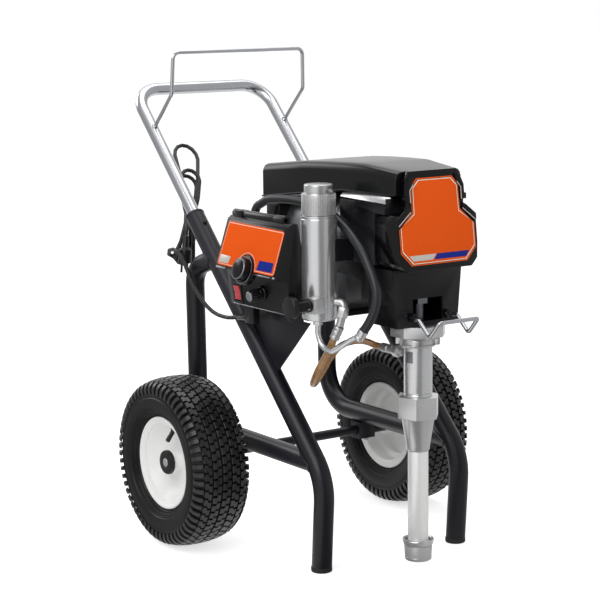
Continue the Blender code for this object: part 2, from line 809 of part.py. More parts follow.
def build_rim(label, side, paint):
    """Build the pressed steel rim with its dished disc and hub."""
    seat = RIM_SEAT_R - RIM_WALL
    well = RIM_WELL_R - RIM_WALL
    half = RIM_HALF
    lip = half - RIM_WALL
    slope = RIM_WELL_HALF + 0.004
    shift = RIM_WALL * 0.6
    bore = AXLE_STUB_R + GAP
    disc_in = DISH_X - RIM_WALL
    profile = [
        (RIM_FLANGE_R, half), (RIM_FLANGE_R, lip), (RIM_SEAT_R, lip), (RIM_SEAT_R, slope),
        (RIM_WELL_R, RIM_WELL_HALF), (RIM_WELL_R, -RIM_WELL_HALF), (RIM_SEAT_R, -slope),
        (RIM_SEAT_R, -lip), (RIM_FLANGE_R, -lip), (RIM_FLANGE_R, -half), (seat, -half),
        (seat, -slope - shift), (well, -RIM_WELL_HALF - shift), (well, 0), (DISH_R, disc_in),
        (HUB_R, disc_in), (HUB_R, -HUB_IN), (bore, -HUB_IN),
        (bore, HUB_OUT), (HUB_R, HUB_OUT), (HUB_R, DISH_X), (DISH_R, DISH_X),
        (well, RIM_WALL * 1.6), (well, RIM_WELL_HALF + shift), (seat, slope + shift), (seat, half)]
    centre = (side * WHEEL_X, 0, AXLE_Z)
    piece(f"rim_{label}", lathe(profile, centre, (side, 0, 0), WHEEL_SIDES), paint, centre)


def build_tyre(label, side, paint):
    """Build the hollow tyre, open to the rim, at the outer size of its tread."""
    bead_x = RIM_HALF - RIM_WALL - GAP
    bead_r = RIM_SEAT_R + GAP
    toe_x = bead_x - TYRE_WALL * 0.8
    height = TYRE_R - RIM_FLANGE_R
    outer = [(bead_r, bead_x), (RIM_FLANGE_R + 0.002, bead_x),
             (RIM_FLANGE_R + height * 0.14, TYRE_HALF * 0.90), (RIM_FLANGE_R + height * 0.43, TYRE_HALF),
             (RIM_FLANGE_R + height * 0.78, TYRE_HALF * 0.94), (TYRE_R - 0.0045, TYRE_HALF * 0.70)]
    inner = [(TYRE_R - TYRE_WALL * 1.2, 0), (TYRE_R - TYRE_WALL * 2.2, TYRE_HALF * 0.72),
             (RIM_FLANGE_R + height * 0.43, TYRE_HALF - TYRE_WALL),
             (RIM_FLANGE_R + TYRE_WALL * 0.6, toe_x), (bead_r, toe_x)]
    far = [(r, -x) for r, x in reversed(outer)]
    inner_far = [(r, -x) for r, x in reversed(inner[1:])]
    profile = outer + [(TYRE_R, 0)] + far + inner_far + inner
    centre = (side * WHEEL_X, 0, AXLE_Z)
    piece(f"tyre_{label}", lathe(profile, centre, (side, 0, 0), WHEEL_SIDES), paint, centre)


def build_hub_cap(label, side, paint):
    """Build the cap pressed on the axle's end, which keeps the wheel on."""
    start = HUB_OUT + RUN
    floor = start + HUB_CAP_LENGTH - HUB_CAP_FACE
    end = start + HUB_CAP_LENGTH
    bore = AXLE_STUB_R + GAP
    profile = ((bore, start), (HUB_CAP_R, start), (HUB_CAP_R, end - HUB_CAP_FACE),
               (HUB_CAP_R - HUB_CAP_FACE, end), (0, end), (0, floor), (bore, floor))
    piece(f"hub_cap_{label}", lathe(profile, (side * WHEEL_X, 0, AXLE_Z), (side, 0, 0), 16), paint)


def build_valve_stem(label, side, paint):
    """Build the rubber valve stem that stands on the rim's disc."""
    reach = (VALVE_RADIUS - VALVE_R - DISH_R) / (RIM_WELL_R - RIM_WALL - DISH_R)
    start = DISH_X + (RIM_WALL * 1.6 - DISH_X) * reach + GAP * 2
    y = VALVE_RADIUS * math.cos(VALVE_ANGLE)
    z = AXLE_Z + VALVE_RADIUS * math.sin(VALVE_ANGLE)
    stem = rod((side * (WHEEL_X + start), y, z), (side * (WHEEL_X + VALVE_END), y, z), VALVE_R, 10)
    piece(f"valve_stem_{label}", stem, paint, (side * WHEEL_X, 0, AXLE_Z))


# ---------------------------------------------------------------- motor and drive
def crank_z():
    """Return the height of the crank's axis, one centre distance below the motor's."""
    return MOTOR_Z - GEAR_MODULE * (PINION_TEETH + GEAR_TEETH) / 2


def yoke_z():
    """Return the height of the pump rod's pin with the crank at the top of its turn."""
    return crank_z() + CRANK_THROW - CON_ROD_LENGTH


def build_motor(paint):
    """Build the motor's cast body, hollow round the rotor, on its foot."""
    cavity_front = -MOTOR_FRONT - MOTOR_END_WALL
    cavity_rear = -MOTOR_REAR + MOTOR_END_WALL
    body = rod((0, MOTOR_REAR, MOTOR_Z), (0, MOTOR_FRONT, MOTOR_Z), MOTOR_R, 32)
    motor = piece("motor", body, paint)
    foot_low = DECK_TOP + GAP
    fuse(motor, box((-MOTOR_FOOT_HALF, MOTOR_FOOT_FRONT, foot_low),
                    (MOTOR_FOOT_HALF, MOTOR_FOOT_REAR, MOTOR_Z)))
    bore = ROTOR_SHAFT_R + RUN
    profile = ((0, cavity_rear), (MOTOR_CAVITY_R, cavity_rear), (MOTOR_CAVITY_R, cavity_front),
               (bore, cavity_front), (bore, -MOTOR_FRONT + 0.01), (0, -MOTOR_FRONT + 0.01))
    cut(motor, lathe(profile, (0, 0, MOTOR_Z), (0, -1, 0), 24))


def build_rotor(paint):
    """Build the rotor with its shaft and the pinion on the shaft's end."""
    pitch_r = GEAR_MODULE * PINION_TEETH / 2
    start = -MOTOR_REAR + MOTOR_END_WALL + RUN
    core_start = start + ROTOR_END_GAP
    core_end = -MOTOR_FRONT - MOTOR_END_WALL - ROTOR_END_GAP
    pinion_start = -GEAR_FRONT - GEAR_THICK - PINION_OVERHANG
    pinion_end = -GEAR_FRONT + PINION_OVERHANG
    profile = ((0, start), (ROTOR_SHAFT_R, start), (ROTOR_SHAFT_R, core_start),
               (ROTOR_R, core_start), (ROTOR_R, core_end), (ROTOR_SHAFT_R, core_end),
               (ROTOR_SHAFT_R, pinion_start), (pitch_r - GEAR_BACKLASH, pinion_start),
               (pitch_r - GEAR_BACKLASH, pinion_end), (0, pinion_end))
    piece("rotor", lathe(profile, (0, 0, MOTOR_Z), (0, -1, 0), 20), paint, (0, 0, MOTOR_Z))


def crank_pin_end():
    """Return the y of the crank pin's front end."""
    return CRANK_DISC_REAR - CRANK_DISC_THICK - CRANK_PIN_LENGTH


def build_crank_gear(paint):
    """Build the large gear, its shaft and the crank disc with its pin."""
    pitch_r = GEAR_MODULE * GEAR_TEETH / 2
    disc_front = CRANK_DISC_REAR - CRANK_DISC_THICK
    profile = ((0, -GEAR_FRONT - GEAR_THICK), (pitch_r - GEAR_BACKLASH, -GEAR_FRONT - GEAR_THICK),
               (pitch_r - GEAR_BACKLASH, -GEAR_FRONT), (CRANK_SHAFT_R, -GEAR_FRONT),
               (CRANK_SHAFT_R, -CRANK_DISC_REAR), (CRANK_DISC_R, -CRANK_DISC_REAR),
               (CRANK_DISC_R, -disc_front), (0, -disc_front))
    axis = (0, 0, crank_z())
    gear = piece("crank_gear", lathe(profile, axis, (0, -1, 0), 28), paint, axis)
    pin_z = crank_z() + CRANK_THROW
    fuse(gear, rod((0, disc_front + 0.004, pin_z), (0, crank_pin_end(), pin_z), CRANK_PIN_R, 16))


def con_rod_rear():
    """Return the y of the connecting rod's rear face."""
    return crank_pin_end() - 0.0005


def build_con_rod(paint):
    """Build the connecting rod, open at the crank pin and bored for the yoke's pin."""
    top_z = crank_z() + CRANK_THROW
    outline = []
    for step in range(9):
        angle = math.pi * step / 8
        outline.append((CON_ROD_TOP_R * math.cos(angle), top_z + CON_ROD_TOP_R * math.sin(angle)))
    for step in range(9):
        angle = math.pi * (1 + step / 8)
        outline.append((CON_ROD_EYE_R * math.cos(angle), yoke_z() + CON_ROD_EYE_R * math.sin(angle)))
    rear = con_rod_rear()
    front = rear - CON_ROD_THICK
    pivot = (0, (rear + front) / 2, yoke_z())
    con_rod = piece("con_rod", prism(outline, "Y", rear, front), paint, pivot)
    cut(con_rod, rod((0, rear + 0.005, yoke_z()), (0, front - 0.005, yoke_z()), YOKE_PIN_R + RUN, 16))


def build_pump_rod(paint):
    """Build the pump rod with its piston below and its yoke and pin above."""
    base = yoke_z() - YOKE_BASE
    profile = ((0, PISTON_LOW), (PISTON_R, PISTON_LOW), (PISTON_R, PISTON_LOW + PISTON_HEIGHT),
               (PUMP_ROD_R, PISTON_LOW + PISTON_HEIGHT), (PUMP_ROD_R, base + 0.002), (0, base + 0.002))
    pump_rod = piece("pump_rod", lathe(profile, (0, PUMP_Y, 0), (0, 0, 1), 20), paint,
                     (0, PUMP_Y, yoke_z()))
    rear = con_rod_rear() + RUN + YOKE_CHEEK
    front = con_rod_rear() - CON_ROD_THICK - RUN - YOKE_CHEEK
    top = yoke_z() + YOKE_TOP
    slot_floor = yoke_z() - CON_ROD_EYE_R - 0.001
    outline = ((rear, base), (rear, top), (rear - YOKE_CHEEK, top), (rear - YOKE_CHEEK, slot_floor),
               (front + YOKE_CHEEK, slot_floor), (front + YOKE_CHEEK, top), (front, top), (front, base))
    fuse(pump_rod, prism(outline, "X", -YOKE_HALF, YOKE_HALF))
    inset = YOKE_CHEEK / 2
    fuse(pump_rod, rod((0, rear - inset, yoke_z()), (0, front + inset, yoke_z()), YOKE_PIN_R, 16))


def spine_top():
    """Return the height of the spine under the shroud's top."""
    return shroud_top(SPINE_FRONT) - SHROUD_WALL - GAP


def build_drive_housing(paint):
    """Build the cast drive housing: gear case, crank chamber, ledge, spine and hanger lugs."""
    ledge = mirrored([(HOUSING_HALF, HOUSING_LOW), (HOUSING_HALF, HOUSING_LEDGE_Z),
                      (LEDGE_IN, HOUSING_TOP)])
    housing = piece("drive_housing", prism(ledge, "Y", MOTOR_FRONT - GAP, HOUSING_LEDGE_FRONT), paint)
    cut(housing, box((-HOUSING_HALF - 0.01, HOUSING_LEDGE_FRONT - 0.01, HOUSING_LOW - 0.01),
                     (HOUSING_HALF + 0.01, HOUSING_STEP_Y, COVER_SHOULDER + GAP)))
    lower = mirrored([(LOWER_HALF_LOW, LOWER_BOTTOM), (LOWER_HALF_TOP, LOWER_TOP)])
    fuse(housing, prism(lower, "Y", LOWER_REAR, LOWER_FRONT))
    fuse(housing, box((-CORE_HALF, LOWER_FRONT + CORE_SETBACK, LOWER_TOP - 0.01),
                      (CORE_HALF, LOWER_REAR - 0.005, CORE_TOP)))
    fuse(housing, box((-GEAR_CASE_HALF, LOWER_REAR - 0.007, GEAR_CASE_LOW),
                      (GEAR_CASE_HALF, GEAR_CASE_REAR, HOUSING_LOW + 0.01)))
    fuse(housing, box((-SPINE_HALF, SPINE_FRONT, HOUSING_TOP - 0.01),
                      (SPINE_HALF, SPINE_REAR, spine_top())))
    for _, side in SIDES:
        inner, outer = sorted((side * LUG_IN, side * LUG_OUT))
        fuse(housing, box((inner, LOWER_FRONT - LUG_DEPTH, HANGER_Z - 0.008),
                          (outer, LOWER_FRONT + 0.002, HANGER_Z + 0.008)))
    cut_drive_housing(housing)


def cut_drive_housing(housing):
    """Cut the chambers, the bores and the front window of the drive housing."""
    gear_r = GEAR_MODULE * GEAR_TEETH / 2 + GEAR_CHAMBER_GAP
    pinion_r = GEAR_MODULE * PINION_TEETH / 2 + GEAR_CHAMBER_GAP
    axis_z = crank_z()
    cut(housing, rod((0, MOTOR_FRONT + 0.01, axis_z), (0, CHAMBER_WALL_REAR, axis_z), gear_r, 32))
    cut(housing, rod((0, MOTOR_FRONT + 0.01, MOTOR_Z), (0, CHAMBER_WALL_REAR + 0.003, MOTOR_Z),
                     pinion_r, 16))
    cut(housing, rod((0, CHAMBER_WALL_REAR + 0.01, axis_z), (0, CHAMBER_REAR - 0.01, axis_z),
                     CRANK_SHAFT_R + RUN, 24))
    wall_y = LOWER_FRONT + LOWER_FRONT_WALL
    cut(housing, box((-CHAMBER_HALF, wall_y, CHAMBER_LOW), (CHAMBER_HALF, CHAMBER_REAR, CHAMBER_TOP)))
    cut(housing, box((-CHAMBER_HALF + 0.002, LOWER_FRONT - 0.01, HOUSING_LOW),
                     (CHAMBER_HALF - 0.002, wall_y + 0.001, CHAMBER_TOP - 0.002)))
    cut(housing, box((-WINDOW_HALF, LOWER_FRONT - LUG_DEPTH - 0.01, WINDOW_LOW),
                     (WINDOW_HALF, wall_y + 0.001, WINDOW_HIGH)))
    cut(housing, rod((0, PUMP_Y, LOWER_BOTTOM - 0.01), (0, PUMP_Y, CHAMBER_LOW + 0.01),
                     PUMP_ROD_R + RUN, 24))
    cut(housing, rod((-LUG_OUT - 0.01, HANGER_Y, HANGER_Z), (LUG_OUT + 0.01, HANGER_Y, HANGER_Z),
                     HANGER_WIRE_R + GAP, 12))


# ---------------------------------------------------------------- pump
def build_pump_flange(paint):
    """Build the eight-sided flange under the drive housing."""
    outline = polygon(FLANGE_HALF / math.cos(math.pi / 8), 8, (0, PUMP_Y), math.pi / 8)
    top = LOWER_BOTTOM - GAP
    flange = piece("pump_flange", prism(outline, "Z", FLANGE_LOW, top), paint)
    cut(flange, rod((0, PUMP_Y, FLANGE_LOW - 0.01), (0, PUMP_Y, top + 0.01), CYLINDER_R + GAP, 24))


def build_jam_nut(paint):
    """Build the jam nut with the four lugs by which it is driven round."""
    nut = piece("jam_nut", rod((0, PUMP_Y, JAM_NUT_LOW), (0, PUMP_Y, JAM_NUT_HIGH), JAM_NUT_R, 24),
                paint)
    inset = (JAM_NUT_HIGH - JAM_NUT_LOW) / 6
    for index in range(4):
        angle = math.pi * (0.25 + index / 2)
        spoke = Vector((math.cos(angle), math.sin(angle), 0))
        beside = Vector((-spoke.y, spoke.x, 0)) * 0.006
        centre = Vector((0, PUMP_Y, 0))
        corners = [centre + spoke * reach + beside * turn for reach, turn in
                   ((JAM_NUT_R * 0.9, -1), (JAM_LUG_R, -1), (JAM_LUG_R, 1), (JAM_NUT_R * 0.9, 1))]
        outline = [(corner.x, corner.y) for corner in corners]
        fuse(nut, prism(outline, "Z", JAM_NUT_LOW + inset, JAM_NUT_HIGH - inset))
    cut(nut, rod((0, PUMP_Y, JAM_NUT_LOW - 0.01), (0, PUMP_Y, JAM_NUT_HIGH + 0.01),
                 CYLINDER_R + GAP, 24))


def build_pump_cylinder(paint):
    """Build the pump cylinder, open below and bored above for the rod."""
    top = LOWER_BOTTOM - GAP
    rod_bore = PUMP_ROD_R + RUN
    profile = ((CYLINDER_BORE, CYLINDER_LOW), (CYLINDER_R, CYLINDER_LOW), (CYLINDER_R, top),
               (rod_bore, top), (rod_bore, top - CYLINDER_HEAD), (CYLINDER_BORE, top - CYLINDER_HEAD))
    piece("pump_cylinder", lathe(profile, (0, PUMP_Y, 0), (0, 0, 1), 24), paint)


def build_intake_housing(paint):
    """Build the hexagonal intake housing with its cone."""
    top = CYLINDER_LOW - GAP
    profile = ((0, INTAKE_LOW), (INTAKE_CONE_LOW_R, INTAKE_LOW),
               (INTAKE_CONE_TOP_R, INTAKE_HEX_LOW + 0.001), (0, INTAKE_HEX_LOW + 0.001))
    intake = piece("intake_housing", lathe(profile, (0, PUMP_Y, 0), (0, 0, 1), 24), paint)
    corners = polygon(INTAKE_AF / math.sqrt(3), 6, (0, PUMP_Y), math.radians(20))
    fuse(intake, prism(corners, "Z", INTAKE_HEX_LOW, top))
    cut(intake, rod((0, PUMP_Y, INTAKE_LOW - 0.01), (0, PUMP_Y, top + 0.01), INTAKE_BORE, 24))


def build_suction_tube(paint):
    """Build the suction tube between the intake housing and the strainer."""
    bore = SUCTION_R - SUCTION_WALL
    top = INTAKE_LOW - GAP
    profile = ((bore, SUCTION_LOW), (SUCTION_R, SUCTION_LOW), (SUCTION_R, top), (bore, top))
    piece("suction_tube", lathe(profile, (0, PUMP_Y, 0), (0, 0, 1), 24), paint)


def build_strainer(paint_collar, paint_mesh):
    """Build the strainer's collar on the tube and its open-bottomed mesh cup."""
    bore = SUCTION_R + GAP
    low = SUCTION_LOW + 0.005
    top = low + COLLAR_HEIGHT
    edge = 0.003
    profile = ((bore, low), (STRAINER_R, low), (COLLAR_R, low + edge), (COLLAR_R, top - edge),
               (COLLAR_R - edge, top), (bore, top))
    piece("strainer_collar", lathe(profile, (0, PUMP_Y, 0), (0, 0, 1), 24), paint_collar)
    inner = STRAINER_R - STRAINER_WALL
    roof = low - GAP
    cup = ((0, STRAINER_LOW), (inner, STRAINER_LOW), (STRAINER_R, STRAINER_LOW + STRAINER_WALL),
           (STRAINER_R, roof), (bore, roof), (bore, STRAINER_LOW + STRAINER_WALL * 2),
           (0, STRAINER_LOW + STRAINER_WALL * 2))
    piece("strainer", lathe(cup, (0, PUMP_Y, 0), (0, 0, 1), 24), paint_mesh)


def build_outlet_swivel(paint):
    """Build the hose fitting behind the pump cylinder."""
    chord = CYLINDER_R ** 2 - (abs(SWIVEL_X) - SWIVEL_NUT_R) ** 2
    start = -PUMP_Y - math.sqrt(chord) - GAP
    end = -SWIVEL_REAR
    waist = start + (end - start) * 0.40
    profile = ((0, end), (SWIVEL_R, end), (SWIVEL_R, waist), (SWIVEL_NUT_R, waist),
               (SWIVEL_NUT_R, start), (0, start))
    piece("outlet_swivel", lathe(profile, (SWIVEL_X, 0, SWIVEL_Z), (0, -1, 0), 12), paint)


def build_pail_hanger(paint):
    """Build the wire hanger that swings on the housing's lugs."""
    end_x = LUG_IN - 0.001
    half = [Vector((end_x, HANGER_Y, HANGER_Z)), Vector((HANGER_HALF, HANGER_Y, HANGER_Z)),
            Vector((HANGER_HALF, -0.459, 0.480)), Vector((HANGER_HALF, -0.492, 0.452)),
            Vector((HANGER_HALF, HANGER_FRONT_Y, 0.482))]
    corners = half + [Vector((-point.x, point.y, point.z)) for point in reversed(half)]
    path = fillet(corners, [0.0035, HANGER_BEND, HANGER_BEND, HANGER_BEND,
                            HANGER_BEND, HANGER_BEND, HANGER_BEND, 0.0035], 2)
    piece("pail_hanger", sweep(path, HANGER_WIRE_R, 7), paint, (0, HANGER_Y, HANGER_Z))


# ---------------------------------------------------------------- covers and labels
def cover_solid(inset, rear, neck_rear, low, top):
    """Return the front cover's outer shape, or its inside with an inset."""
    height = COVER_SHOULDER - inset - low
    wide = mirrored([(COVER_HALF - inward - inset, low + height * share)
                     for inward, share in COVER_SIDE])
    neck_half = COVER_NECK_HALF - inset
    neck = mirrored([(neck_half, COVER_SHOULDER - COVER_NECK_SEAT),
                     (neck_half - COVER_NECK_TAPER, top - COVER_NECK_EDGE),
                     (neck_half - COVER_NECK_EDGE, top)])
    solids = []
    for outline, back in ((wide, rear), (neck, neck_rear)):
        loops = [[(x, back, z) for x, z in outline],
                 [(x, cover_face_y(z) + inset, z) for x, z in outline]]
        solids.append(loft(loops))
    return solids


def build_front_cover(paint):
    """Build the front cover as a thin shell, open to the rear."""
    wide, neck = cover_solid(0, COVER_REAR, COVER_NECK_REAR, COVER_LOW, COVER_TOP)
    cover = piece("front_cover", wide, paint)
    fuse(cover, neck)
    wall = COVER_WALL
    inner_wide, inner_neck = cover_solid(wall, COVER_REAR + 0.01, COVER_NECK_REAR + 0.01,
                                         COVER_LOW + wall, COVER_TOP - wall)
    cut(cover, inner_wide)
    cut(cover, inner_neck)
    room = CORE_HALF + GAP
    cut(cover, box((-room, LOWER_FRONT + CORE_SETBACK - GAP, COVER_LOW - 0.01),
                   (room, COVER_REAR + 0.02, COVER_LOW + wall * 2)))


def slab(outline, lift, thick):
    """Return a thin plate that lies on the leaning face of the front cover."""
    return loft([[(x, cover_face_y(z) - lift, z) for x, z in outline],
                 [(x, cover_face_y(z) - lift - thick, z) for x, z in outline]])


def build_front_label(paint):
    """Build the label plate on the front cover."""
    height = COVER_SHOULDER - COVER_LOW
    half = [(COVER_HALF - inward, COVER_LOW + height * share) for inward, share in LABEL_SIDE]
    neck_half = COVER_NECK_HALF - LABEL_NECK_IN
    half.append((neck_half, COVER_SHOULDER + LABEL_NECK_LOW))
    half.append((neck_half - 0.001, COVER_TOP - LABEL_NECK_DOWN))
    half.append((COVER_NECK_HALF - LABEL_TOP_IN, COVER_TOP - LABEL_TOP_DOWN))
    piece("front_label", slab(mirrored(half), GAP, LABEL_THICK), paint)


SHROUD_STATIONS = (
    (-0.4317, 0.075, 0.744, 0.700), (-0.340, 0.083, 0.750, 0.700), (-0.290, 0.086, 0.748, 0.700),
    (-0.220, 0.090, 0.745, 0.691), (-0.165, 0.093, 0.742, 0.685), (-0.045, 0.101, 0.729, 0.670))


def shroud_top(y):
    """Return the height of the shroud's top at a place along it."""
    for before, after in zip(SHROUD_STATIONS, SHROUD_STATIONS[1:]):
        if before[0] <= y <= after[0]:
            return before[2] + (after[2] - before[2]) * (y - before[0]) / (after[0] - before[0])
    return SHROUD_STATIONS[-1][2]


def shroud_loops(wall, drop):
    """Return the shroud's sections, drawn in by a wall and let down at the open side."""
    loops = []
    for index, (y, half, top, low) in enumerate(SHROUD_STATIONS):
        if index == 0:
            y += wall
        if index == len(SHROUD_STATIONS) - 1:
            y -= wall
        section = mirrored([(half - wall, low - drop), (half - wall, top - SHROUD_EDGE),
                            (half - wall - SHROUD_EDGE * 0.3, top - SHROUD_EDGE * 0.3 - wall),
                            (half - SHROUD_EDGE - wall * 0.4, top - wall)])
        loops.append([(x, y, z) for x, z in section])
    return loops


def build_shroud(paint):
    """Build the motor shroud as a shell, open below."""
    shroud = piece("shroud", loft(shroud_loops(0, 0)), paint)
    cut(shroud, loft(shroud_loops(SHROUD_WALL, 0.01)))


# ---------------------------------------------------------------- control box
def panel_normal():
    """Return the outward direction of the control box's tilted panel."""
    across = Vector((PANEL_HIGH_X - PANEL_LOW_X, 0, PANEL_HIGH_Z - PANEL_LOW_Z)).normalized()
    return Vector((-across.z, 0, across.x))


def panel_point(y, up, out):
    """Return a point by its distance up the panel and out of it."""
    across = Vector((PANEL_HIGH_X - PANEL_LOW_X, 0, PANEL_HIGH_Z - PANEL_LOW_Z)).normalized()
    return Vector((PANEL_LOW_X, y, PANEL_LOW_Z)) + across * up + panel_normal() * out


def sill_frame(z):
    """Return the point and the outward direction of the lower face at height z."""
    across = Vector((BROW_X - SILL_X, 0, BROW_Z - SILL_Z)).normalized()
    share = (z - SILL_Z) / (BROW_Z - SILL_Z)
    point = Vector((SILL_X + (BROW_X - SILL_X) * share, 0, z))
    return point, Vector((-across.z, 0, across.x)), across


def box_outline(wall):
    """Return the control box's section, or the section of its inside."""
    open_x = BOX_OPEN_X + (0.01 if wall else 0)
    return [(open_x, SILL_Z + wall), (SILL_X + wall, SILL_Z + wall),
            (BROW_X + wall, BROW_Z + wall), (PANEL_LOW_X + wall * 1.3, PANEL_LOW_Z + wall * 0.4),
            (PANEL_HIGH_X + wall, PANEL_HIGH_Z - wall * 0.7), (PANEL_HIGH_X + 0.007, BOX_TOP_Z - wall),
            (BOX_OPEN_X - 0.007 - wall, BOX_TOP_Z - wall), (BOX_OPEN_X - wall, 0.606),
            (open_x, 0.606 - wall)]


def local_box(origin, out, up, half_y, low_up, high_up, low_out, high_out):
    """Return a box whose faces follow a tilted face of the control box."""
    corners = [(low_out, low_up), (high_out, low_up), (high_out, high_up), (low_out, high_up)]
    outline = []
    for far, high in corners:
        point = origin + out * far + up * high
        outline.append((point.x, point.z))
    return prism(outline, "Y", origin.y - half_y, origin.y + half_y)


def rocker_site():
    """Return the rocker's place on the lower face, with the face's directions."""
    point, out, up = sill_frame(ROCKER_Z)
    return Vector((point.x, ROCKER_Y, point.z)), out, up


def build_control_box(paint):
    """Build the control box: a hollow tray with its panel, rail bar and cord gland."""
    box_piece = piece("control_box", prism(box_outline(0), "Y", BOX_FRONT, BOX_REAR), paint)
    cut(box_piece, prism(box_outline(BOX_WALL), "Y", BOX_FRONT + BOX_WALL, BOX_REAR - BOX_WALL))
    fuse(box_piece, rod(panel_point(KNOB_Y, KNOB_UP, -0.010),
                        panel_point(KNOB_Y, KNOB_UP, KNOB_BOSS_PROUD), KNOB_BOSS_R, 20))
    fuse(box_piece, rod(panel_point(KNOB_Y, KNOB_UP, 0),
                        panel_point(KNOB_Y, KNOB_UP, KNOB_BOSS_PROUD + 0.010), KNOB_SPINDLE_R, 12))
    fuse(box_piece, rod((RAIL_BAR_X, BOX_REAR - 0.005, RAIL_BAR_Z),
                        (RAIL_BAR_X, BOX_FRONT + RAIL_BAR_SHORT, RAIL_BAR_Z), RAIL_BAR_R, 16))
    cut(box_piece, rod((RAIL_BAR_X, BOX_FRONT + RAIL_BAR_SHORT - 0.005, RAIL_BAR_Z),
                       (RAIL_BAR_X, BOX_FRONT + RAIL_BAR_SHORT + 0.010, RAIL_BAR_Z),
                       RAIL_BAR_R * 0.5, 12))
    for y in (-0.215, -0.145):
        fuse(box_piece, box((BOX_OPEN_X - 0.004, y - 0.006, 0.4815),
                            (-TRACK - GUSSET_THICK / 2 - GAP, y + 0.006, 0.4935)))
    site, out, up = rocker_site()
    tall = ROCKER_HALF_HEIGHT + ROCKER_CLEAR
    wide = ROCKER_HALF_WIDTH + GAP
    fuse(box_piece, local_box(site, out, up, wide + BEZEL_RIM, -tall - BEZEL_RIM, tall + BEZEL_RIM,
                              -0.002, BEZEL_PROUD))
    cut(box_piece, local_box(site, out, up, wide, -tall, tall, -0.012, 0.01))
    add_cord_gland(box_piece)


def add_cord_gland(box_piece):
    """Add the cord's gland under the control box, with its tapered sleeve."""
    fuse(box_piece, box((GLAND_X - 0.008, GLAND_BLOCK_REAR - 0.030, 0.4445),
                        (GLAND_X + 0.006, GLAND_BLOCK_REAR, SILL_Z + 0.001)))
    start = (GLAND_X, GLAND_BLOCK_REAR - 0.002, 0.4545)
    fuse(box_piece, rod(start, (GLAND_X, GLAND_END_Y, GLAND_END_Z), 0.0085, 14, CORD_R + 0.001))


def build_control_label(paint):
    """Build the label plate on the panel, cut out round the knob's boss."""
    outline = ((BOX_REAR - 0.004, 0.006), (BOX_REAR - 0.009, 0.0895),
               (BOX_FRONT + 0.006, 0.087), (BOX_FRONT + 0.0055, 0.0035))
    low = GAP
    loops = []
    for out in (low, low + LABEL_THICK):
        loops.append([panel_point(y, up, out) for y, up in outline])
    label = piece("control_label", loft(loops), paint)
    cut(label, rod(panel_point(KNOB_Y, KNOB_UP, -0.01), panel_point(KNOB_Y, KNOB_UP, 0.01),
                   KNOB_BOSS_R + 0.001, 28))


def build_pressure_knob(paint):
    """Build the pressure knob, bored for its spindle."""
    low = KNOB_BOSS_PROUD + RUN
    bore = KNOB_SPINDLE_R + RUN
    depth = KNOB_LENGTH - KNOB_END_WALL
    profile = ((bore, low), (KNOB_R, low), (KNOB_R, low + KNOB_LENGTH - 0.003),
               (KNOB_R - 0.003, low + KNOB_LENGTH), (0, low + KNOB_LENGTH), (0, low + depth),
               (bore, low + depth))
    centre = panel_point(KNOB_Y, KNOB_UP, 0)
    piece("pressure_knob", lathe(profile, centre, panel_normal(), 20), paint,
          panel_point(KNOB_Y, KNOB_UP, low))


def build_rocker_switch(paint):
    """Build the rocker switch, which tips about its middle."""
    site, out, up = rocker_site()
    sketch = ((-0.006, -0.9), (-0.006, 0.9), (0.0015, 1), (0.0042, 1), (0.0020, 0), (0.0026, -1),
              (0.0015, -1))
    outline = []
    for far, share in sketch:
        point = site + out * far + up * (share * ROCKER_HALF_HEIGHT)
        outline.append((point.x, point.z))
    shape = prism(outline, "Y", ROCKER_Y - ROCKER_HALF_WIDTH, ROCKER_Y + ROCKER_HALF_WIDTH)
    piece("rocker_switch", shape, paint, site - out * 0.002)


def build_fuse_holder(paint):
    """Build the fuse holder that stands out of the lower face."""
    point, out, _ = sill_frame(FUSE_Z)
    profile = ((0, GAP), (FUSE_FLANGE_R, GAP), (FUSE_FLANGE_R, 0.005), (FUSE_R, 0.005),
               (FUSE_R, FUSE_LENGTH - 0.001), (FUSE_R - 0.001, FUSE_LENGTH), (0, FUSE_LENGTH))
    piece("fuse_holder", lathe(profile, (point.x, FUSE_Y, point.z), out, 20), paint)


# ---------------------------------------------------------------- filter, valves and pipes
def build_filter_bowl(paint):
    """Build the filter body: bowl, arm to the housing, valve block and drain outlet."""
    axis = (FILTER_X, FILTER_Y)
    bowl = piece("filter_bowl", rod((*axis, BOWL_LOW), (*axis, BOWL_TOP), BOWL_R, 32), paint)
    fuse(bowl, box((FILTER_X, FILTER_Y - 0.014 - ARM_HALF, ARM_LOW),
                   (-HOUSING_HALF - GAP, FILTER_Y - 0.014 + ARM_HALF, ARM_HIGH)))
    half = PRIME_BOSS_HALF
    fuse(bowl, box((PRIME_BOSS_X, PRIME_Y - half, PRIME_Z - half - 0.002),
                   (FILTER_X, PRIME_Y + half, PRIME_Z + half)))
    fuse(bowl, rod((DRAIN_X, DRAIN_Y, DRAIN_NUT_LOW), (DRAIN_X, DRAIN_Y, PRIME_Z - half),
                   DRAIN_NUT_R, 12))
    cut(bowl, rod((*axis, BOWL_LOW + BOWL_FLOOR), (*axis, BOWL_TOP + 0.01), BOWL_R - BOWL_WALL, 24))


def build_filter_cap(paint):
    """Build the filter's screw cap with its knurled ring and its hexagon."""
    plug = BOWL_R - BOWL_WALL - GAP
    low = BOWL_TOP + GAP
    profile = ((0, low - CAP_PLUG), (plug, low - CAP_PLUG), (plug, low), (CAP_R, low),
               (CAP_R, CAP_KNURL_TOP), (0, CAP_KNURL_TOP))
    cap = piece("filter_cap", lathe(profile, (FILTER_X, FILTER_Y, 0), (0, 0, 1), 32), paint)
    corners = polygon(CAP_HEX_AF / math.sqrt(3), 6, (FILTER_X, FILTER_Y), math.radians(25))
    fuse(cap, prism(corners, "Z", CAP_KNURL_TOP - 0.003, CAP_TOP))


